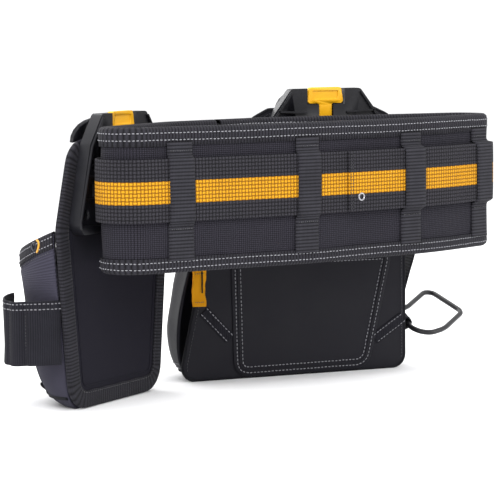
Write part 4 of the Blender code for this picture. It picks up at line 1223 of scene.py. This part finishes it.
def build_bag_a():
    bag = Bag(a_levels(), A_CORNER)
    bag.build("tall_pocket", "slate", "pouch_a", POUCH_A, "main_pocket_a", dents=1.3, seed=2.0)
    bag.tape("tall_pocket_rim", 1.0, (1.75, 1.95), "binding", "pouch_a", "binding", POUCH_A, "pocket_rim_a")
    rows = [(bag.row(t, 2.5, 0.0, 1.0), bag.outward(t)) for t in (0.24, 0.80)]
    stitches("tall_pocket_rim_stitches", rows, "pouch_a", POUCH_A)
    foot = [bag.point(5.15, 0.01 + 0.98 * k / 90, 1.5) for k in range(91)]
    tube("tall_pocket_piping", foot, 1.5, "piping", "pouch_a", POUCH_A, sides=8)
    for side in (0.27, 0.73):
        seam = [bag.point(1.2 + (5.1 - 1.2) * k / 30, side, 1.35) for k in range(31)]
        tube(f"tall_pocket_seam_{side:.2f}", seam, 0.9, "piping", "pouch_a", POUCH_A, sides=6)
    knot = [bag.point(4.55 + 0.75 * k / 8, 0.27, 2.0 + 0.9 * sin(k * 1.3)) for k in range(9)]
    tube("tall_pocket_knot", knot, 1.7, "piping", "pouch_a", POUCH_A, sides=8)
    hem = [(bag.row(1.08, 1.5, 0.02, 0.98), bag.outward(1.08))]
    stitches("tall_pocket_lower_stitches", hem, "pouch_a", POUCH_A, "black_thread", 2.6,
             width=0.6)
    build_rivet(bag)
    return bag


def build_rivet(bag):
    where = 0.085
    spot = bag.point(0.42, where, 1.9)
    out = bag.outward(0.42)(spot)
    profile = [(1.7, -0.3), (1.8, 0.9), (2.4, 1.5), (3.2, 1.3), (3.7, 0.6), (3.6, -0.3), (1.7, -0.3)]
    eyelet = lathe("tall_pocket_eyelet", profile, spot, out, "dark_metal", "pouch_a", POUCH_A)
    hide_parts("rivet_a")
    # A dark disc closing the rivet's hole: painted shade standing in for the open hole.
    lathe("tall_pocket_eyelet_hole_shade", [(0.01, 0.5), (1.2, 0.45), (1.8, 0.3), (1.9, -0.3)], spot, out, "piping",
          "pouch_a", POUCH_A, sides=20)
    arc = []
    for k in range(9):
        angle = radians(-75 + 150 * k / 8)
        arc.append(bag.point(0.42 - 5.6 * sin(angle) / RIM_BAND, where - 0.010 - 0.016 * cos(angle), 2.7))
    tube("tall_pocket_bartack", arc, 0.85, "yellow_thread", "pouch_a", POUCH_A, sides=8)


def build_sleeve():
    """A wide band down the pocket's side, drawn in at two seams to make three tool holders."""
    plan = [(-73.2, 6.2), (-80, 9.5), (-87, 16), (-91.5, 23), (-90.2, 27.5), (-93.8, 33), (-93.4, 39),
            (-89.6, 43.5), (-88.5, 49), (-80, 56.5), (-70, 62.5), (-58, 68), (-47, 70.8)]
    line = smooth_line([(x, y, 0) for x, y in plan], 1.6)
    steps = 12
    rows = []
    for r in range(steps + 1):
        z = SLEEVE_LOW + (SLEEVE_HIGH - SLEEVE_LOW) * r / steps
        flare = 0.8 * (2 * r / steps - 1) ** 2
        rows.append([Vector((p.x - flare * 0.6, p.y - flare * 0.3 + crumple((p.x, p.y, z), 22.0, 1.0), z
                             + 0.5 * sin(p.y / 9.0))) for p in line])
    band = sheet_grid("tool_sleeve_band", rows, "twill", "pouch_a", POUCH_A)
    fix_normals(band)
    thicken(band, 1.7)
    soften(band, 0.4)
    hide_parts("tool_sleeve_a")

    def outward(point):
        i = min(range(len(line)), key=lambda k: (line[k].xy - Vector((point.x, point.y))).length)
        run = (line[min(i + 1, len(line) - 1)] - line[max(i - 1, 0)]).normalized()
        return Vector((-run.y, run.x, 0))

    lines = []
    for drop in (2.2, 6.6):
        row = []
        for p in line:
            out = outward(p)
            z = SLEEVE_HIGH - drop + 0.5 * sin(p.y / 9.0)
            row.append(Vector((p.x - 0.3, p.y + crumple((p.x, p.y, z), 22.0, 1.0), z)) + out * 1.0)
        lines.append((row, outward))
    stitches("tool_sleeve_stitches", lines, "pouch_a", POUCH_A)
    seams = []
    for x, y in ((-90.2, 27.5), (-89.6, 43.5)):
        out = outward(Vector((x, y, 0)))
        seams.append(([Vector((x, y, z)) + out * 0.9 for z in range(41, 90, 2)], out))
    stitches("tool_sleeve_seams", seams, "pouch_a", POUCH_A, "black_thread", 2.6, width=0.7)


build_panel_a()
build_bag_a()
build_sleeve()
for hook_letter, hook_frame, hook_top in (("a", POUCH_A, A_TOP), ("b", POUCH_B, B_TOP)):
    build_screws(hook_letter, hook_frame, hook_top)
    build_ladder(hook_letter, hook_frame, hook_top)


# ---------------------------------------------------------------- the wide pouch

B_PANEL_TOP = 236.0
B_LEFT = 112.0
B_RIGHT = 82.0
B_FOOT_LEFT = 136.0
B_DEPTH = 62.0
B_RIM_BACK = 176.0
B_RIM_FRONT = 152.0
B_CORNER = 34.0


def build_panel_b():
    corners = [(50, B_PANEL_TOP, 6), (70, B_PANEL_TOP - 9, 14), (B_RIGHT, 120, 40), (B_RIGHT, 0.4, 12),
               (-B_FOOT_LEFT, 0.4, 12), (-B_LEFT, 108, 60), (-68, B_PANEL_TOP - 9, 16), (-50, B_PANEL_TOP, 6)]
    outline = resample(rounded(corners), 3.0, closed=True)
    panel = pillow("wide_panel", outline, 1.4, PANEL_BACK, 0.5, "black", "pouch_b", POUCH_B)
    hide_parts("back_panel_b")
    closed = outline + outline[:1]
    cord = [(p.x + n.x * 1.0, 2.6, p.y + n.y * 1.0) for p, n in edge_frames(closed[:-1], True)]
    tube("wide_panel_piping", cord, 1.6, "piping", "pouch_b", POUCH_B, closed=True, sides=8)
    hem = flat_line([p for p in outline], 4.2, 0.75, True)
    side = [Vector(p) for p in hem if p[2] > 8]
    split = max(range(len(side)), key=lambda i: (side[i] - side[i - 1]).length)
    side = side[split:] + side[:split]
    stitches("wide_panel_hem", [(side, (0, -1, 0))], "pouch_b", POUCH_B, "black_thread", 2.8,
             width=0.6)


def build_patch():
    corners = [(69, 108, 8), (45, 2.2, 15), (-85, 1.6, 13), (-87, 108, 8)]
    outline = resample(rounded(corners), 3.0, closed=True)
    patch = pillow("wide_patch", outline, -0.2, 1.2, 0.35, "black", "pouch_b", POUCH_B,
                   edge=0.8, dents=0.25)
    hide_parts("back_patch_b")
    rows = []
    for inset, y in ((3.4, -0.42), (8.4, -0.52)):
        hem = [Vector(p) for p in flat_line(outline, inset, y, True)]
        rows.append((hem + hem[:1], (0, -1, 0)))
    stitches("wide_patch_stitches", rows, "pouch_b", POUCH_B)
    cord = flat_line(outline, 5.9, -0.1, True)
    tube("wide_patch_cord", cord, 0.8, "black", "pouch_b", POUCH_B, closed=True, sides=6)


def build_diagonals():
    """Two short straps sewn aslant from the panel's edges to the patch."""
    sides = {"left": ((-112.6, 61.5), (-88.0, 35.8)), "right": ((79.0, 45.5), (51.0, 27.6))}
    rows = []
    for name, (start, end) in sides.items():
        start, end = Vector(start), Vector(end)
        run = (end - start).normalized()
        across = Vector((-run.y, run.x))
        half = 5.2
        outline = [start + across * half, end + across * half, end - across * half, start - across * half]
        if across.cross(run) > 0:
            outline.reverse()
        outline_solid(f"wide_strap_{name}", outline, 0.15, 1.4, "twill", "pouch_b",
                      POUCH_B, 0.35)
        for offset in (-3.6, 3.6):
            line = [start + across * offset, end + across * offset]
            rows.append(([Vector((p.x, -0.1, p.y)) for p in resample(line, 3.0)], (0, -1, 0)))
    stitches("wide_strap_stitches", rows, "pouch_b", POUCH_B)


def build_tab():
    """A doubled tape tab, drawn as one thick gently waved strip."""
    rows = []
    for k in range(15):
        z = 102.0 - 36.0 * k / 14
        sway = 0.35 * sin(k * 0.55)
        half = 6.2 + (0.25 * sin(k * 1.7))
        rows.append([(-117.6 + sway + half * x, -1.3 - 0.9 * sin(k * 0.45 + x) - 0.3 * x * x, z)
                     for x in (-1, -0.6, -0.2, 0.2, 0.6, 1)])
    tab = sheet_grid("pull_tab", rows, "tab", "pouch_b", POUCH_B)
    fix_normals(tab)
    thicken(tab, 1.6)
    soften(tab, 0.5)
    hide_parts("pull_tab_b")
    lines = [([(-122.0, -3.1, z), (-117.5, -3.3, z), (-113.0, -3.1, z)], (0, -1, 0)) for z in (70.0, 95.0)]
    stitches("pull_tab_tacks", lines, "pouch_b", POUCH_B, "black_thread", 1.7, width=0.7)
    cord = [(-115.4, -3.6 + 0.2 * sin(k), 97.0 - 19.0 * k / 10) for k in range(11)]
    tube("pull_tab_cord", cord, 0.7, "piping", "pouch_b", POUCH_B, sides=6)


def b_levels():
    left, right = -B_FOOT_LEFT + 2, B_RIGHT - CLOTH
    levels = [(B_RIM_BACK - drop, B_RIM_FRONT - drop, left + 32, right - 4, B_DEPTH)
              for drop in (0, RIM_BAND)]
    lower = ((100, 98, 12, 0, 0), (60, 58, 2, 0, 2), (30, 28, 0, 1, 6), (12, 10, 4, 4, 14),
             (1.3, 1.3, 18, 14, 28), (1.3, 1.3, 30, 26, B_DEPTH - 10))
    for back, front, left_in, right_in, depth_in in lower:
        levels.append((back, front, left + left_in, right - right_in, B_DEPTH - depth_in))
    return levels


def build_bag_b():
    bag = Bag(b_levels(), B_CORNER, columns=110)
    bag.build("wide_pocket", "black", "pouch_b", POUCH_B, "main_pocket_b", dents=1.6,
              seed=5.0)
    bag.tape("wide_pocket_rim", 1.0, (1.75, 1.95), "binding", "pouch_b", "binding", POUCH_B, "pocket_rim_b")
    rows = [(bag.row(t, 2.5, 0.02, 0.98), bag.outward(t)) for t in (0.24, 0.80)]
    stitches("wide_pocket_rim_stitches", rows, "pouch_b", POUCH_B)
    foot = [bag.point(5.2, 0.01 + 0.98 * k / 120, 1.4) for k in range(121)]
    tube("wide_pocket_piping", foot, 1.4, "piping", "pouch_b", POUCH_B, sides=8)
    corner = [(bag.row(5.0, 1.6, 0.01, 0.12, 20), bag.outward(5.0)), (bag.row(4.75, 1.6, 0.01, 0.12, 20),
                                                                      bag.outward(4.75))]
    stitches("wide_pocket_corner_stitches", corner, "pouch_b", POUCH_B)
    for side in (0.17, 0.83):
        seam = [bag.point(1.1 + 4.0 * k / 36, side, 1.3) for k in range(37)]
        tube(f"wide_pocket_seam_{side:.2f}", seam, 1.1, "piping", "pouch_b", POUCH_B, sides=6)
    return bag


def build_front_pocket():
    base = B_DEPTH + 3.15
    levels = []
    for z, reach_in, half in ((112, 0, 58), (100, 0, 59), (60, 0, 60), (30, 3, 58), (14, 12, 50)):
        levels.append((z, z - 4 if z > 90 else z, -21 - half, -21 + half, base + 24 - reach_in))
    levels.append((12, 12, -71, 29, base + 2.4))
    bag = Bag(levels, 12.0, back=base, columns=60)
    bag.build("front_pocket", "black", "pouch_b", POUCH_B, "front_pocket_b", 1.9, 0.8, 9.0)
    steps = 60
    profile = [(0.9, 1.5, 0), (0.4, 1.6, 0), (0.05, 1.5, 0.2), (0, 0.9, 1.0), (0, -0.9, 1.0),
               (0.05, -1.5, 0.2), (0.9, -1.4, 0)]
    rows = [[bag.point(t, k / steps, out, lift) for k in range(steps + 1)] for t, out, lift in profile]
    tape = sheet_grid("front_pocket_rim", rows, "binding", "pouch_b", POUCH_B)
    fix_normals(tape)
    thicken(tape, 0.6)
    lines = [(bag.row(t, 2.0, 0.04, 0.96, 60), bag.outward(t)) for t in (0.25, 0.75)]
    stitches("front_pocket_stitches", lines, "pouch_b", POUCH_B)


def build_side_strap():
    edge = B_RIGHT + CLOTH
    route = ((1, 64), (7, 84), (13, 104), (14, 124), (8, 150), (1, 160))
    line = smooth_line([(edge + x, 0, z) for x, z in route], 3.0)
    rows = [[(p.x - 0.5 * abs(2 * k / 8 - 1) ** 2, 12 + 22 * k / 8, p.z) for p in line] for k in range(9)]
    strap = sheet_grid("side_strap", rows, "strap", "pouch_b", POUCH_B, flip_uv=True)
    fix_normals(strap)
    thicken(strap, 1.7)
    soften(strap, 0.4)
    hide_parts("side_strap_b")
    rows = [([Vector((edge + 3.6, y, 69 + k)) for y in range(14, 34, 2)], (1, 0, -0.3)) for k in (0, 4)]
    stitches("side_strap_stitches", rows, "pouch_b", POUCH_B)


LOOP_TILT = Matrix.Rotation(radians(20), 4, "X")
LOOP_FRAME = POUCH_B @ Matrix.Translation(Vector((B_RIGHT + 7.5, 34, 46)) * MM) @ LOOP_TILT


def build_hammer_loop():
    plan = [(0, -32, 8), (0, 2, 5), (15, 9, 22), (50, 41, 7), (63, -8, 11), (30, -38, 40), (8, -46, 13)]
    line = resample(rounded(plan, 1.5), 1.8, closed=True)
    wire = tube("hammer_wire", [(p.x, p.y, 0.0) for p in line], 2.35, "wire", "hammer_loop",
                LOOP_FRAME, closed=True, sides=14)
    fix_normals(wire)
    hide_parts("hammer_loop")
    section = rounded([(-5.4, -5.6, 2.2), (-5.4, 5.6, 2.2), (1.0, 5.6, 4.0), (4.6, 0, 3.4),
                       (1.0, -5.6, 4.0)], 1.0)
    rows = []
    for k in range(13):
        y = -23.0 + 19.0 * k / 12
        grow = 1.0 + 0.03 * sin(k * 1.4)
        rows.append([(p.x * grow, y, p.y * grow) for p in section])
    turned = [list(column) for column in zip(*(row + row[:1] for row in rows))]
    keeper = sheet_grid("hammer_keeper", turned, "strap", "pouch_b", LOOP_FRAME)
    fix_normals(keeper)
    thicken(keeper, 1.2)
    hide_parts("hammer_loop_keeper")


build_panel_b()
build_patch()
build_diagonals()
build_tab()
build_bag_b()
build_front_pocket()
build_side_strap()
build_hammer_loop()


# ---------------------------------------------------------------- floor, lights and camera

def build_stage():
    bpy.ops.mesh.primitive_plane_add(size=12, location=(0, 0, 0))
    floor = bpy.context.object
    floor.name = "floor"
    mat = bpy.data.materials.new("pale_floor")
    mat.use_nodes = True
    shader = mat.node_tree.nodes["Principled BSDF"]
    shader.inputs["Base Color"].default_value = (0.92, 0.92, 0.93, 1)
    shader.inputs["Roughness"].default_value = 0.9
    floor.data.materials.append(mat)
    world = bpy.data.worlds.new("studio")
    world.use_nodes = True
    world.node_tree.nodes["Background"].inputs["Color"].default_value = (1, 1, 1, 1)
    world.node_tree.nodes["Background"].inputs["Strength"].default_value = 1.15
    bpy.context.scene.world = world
    bpy.context.scene.view_settings.view_transform = "Standard"
    for name, place, target, size, power in (
            ("key", (-0.9, -1.3, 1.3), (0, 0, 0.12), 0.9, 22.0),
            ("fill", (1.3, -0.9, 0.8), (0, 0, 0.12), 1.0, 9.0),
            ("top", (0.0, 0.3, 1.7), (0, 0, 0.1), 1.2, 16.0),
            ("back", (-0.4, 1.4, 0.9), (0, 0, 0.15), 1.0, 10.0)):
        light = bpy.data.lights.new(name, "AREA")
        light.size = size
        light.energy = power
        lamp = bpy.data.objects.new(name, light)
        bpy.context.scene.collection.objects.link(lamp)
        lamp.location = place
        lamp.rotation_euler = (Vector(target) - Vector(place)).to_track_quat("-Z", "Y").to_euler()


CAMERA_AZIMUTH = 22.0
CAMERA_PITCH = 5.7
CAMERA_ROLL = 0.5
CAMERA_SPOT = (-817.9, -1853.6, 312.7)
CAMERA_LENS = 165.6


def build_camera():
    data = bpy.data.cameras.new("camera")
    data.lens = CAMERA_LENS
    data.sensor_width = 36.0
    data.clip_end = 30.0
    camera = bpy.data.objects.new("camera", data)
    bpy.context.scene.collection.objects.link(camera)
    turn = radians(CAMERA_AZIMUTH)
    pitch = radians(CAMERA_PITCH)
    look = Vector((sin(turn) * cos(pitch), cos(turn) * cos(pitch), -sin(pitch)))
    place = Matrix.Translation(POUCH_B @ (Vector(CAMERA_SPOT) * MM))
    camera.matrix_world = (place @ look.to_track_quat("-Z", "Y").to_matrix().to_4x4()
                           @ Matrix.Rotation(-radians(CAMERA_ROLL), 4, "Z"))
    bpy.context.scene.camera = camera


build_stage()
build_camera()
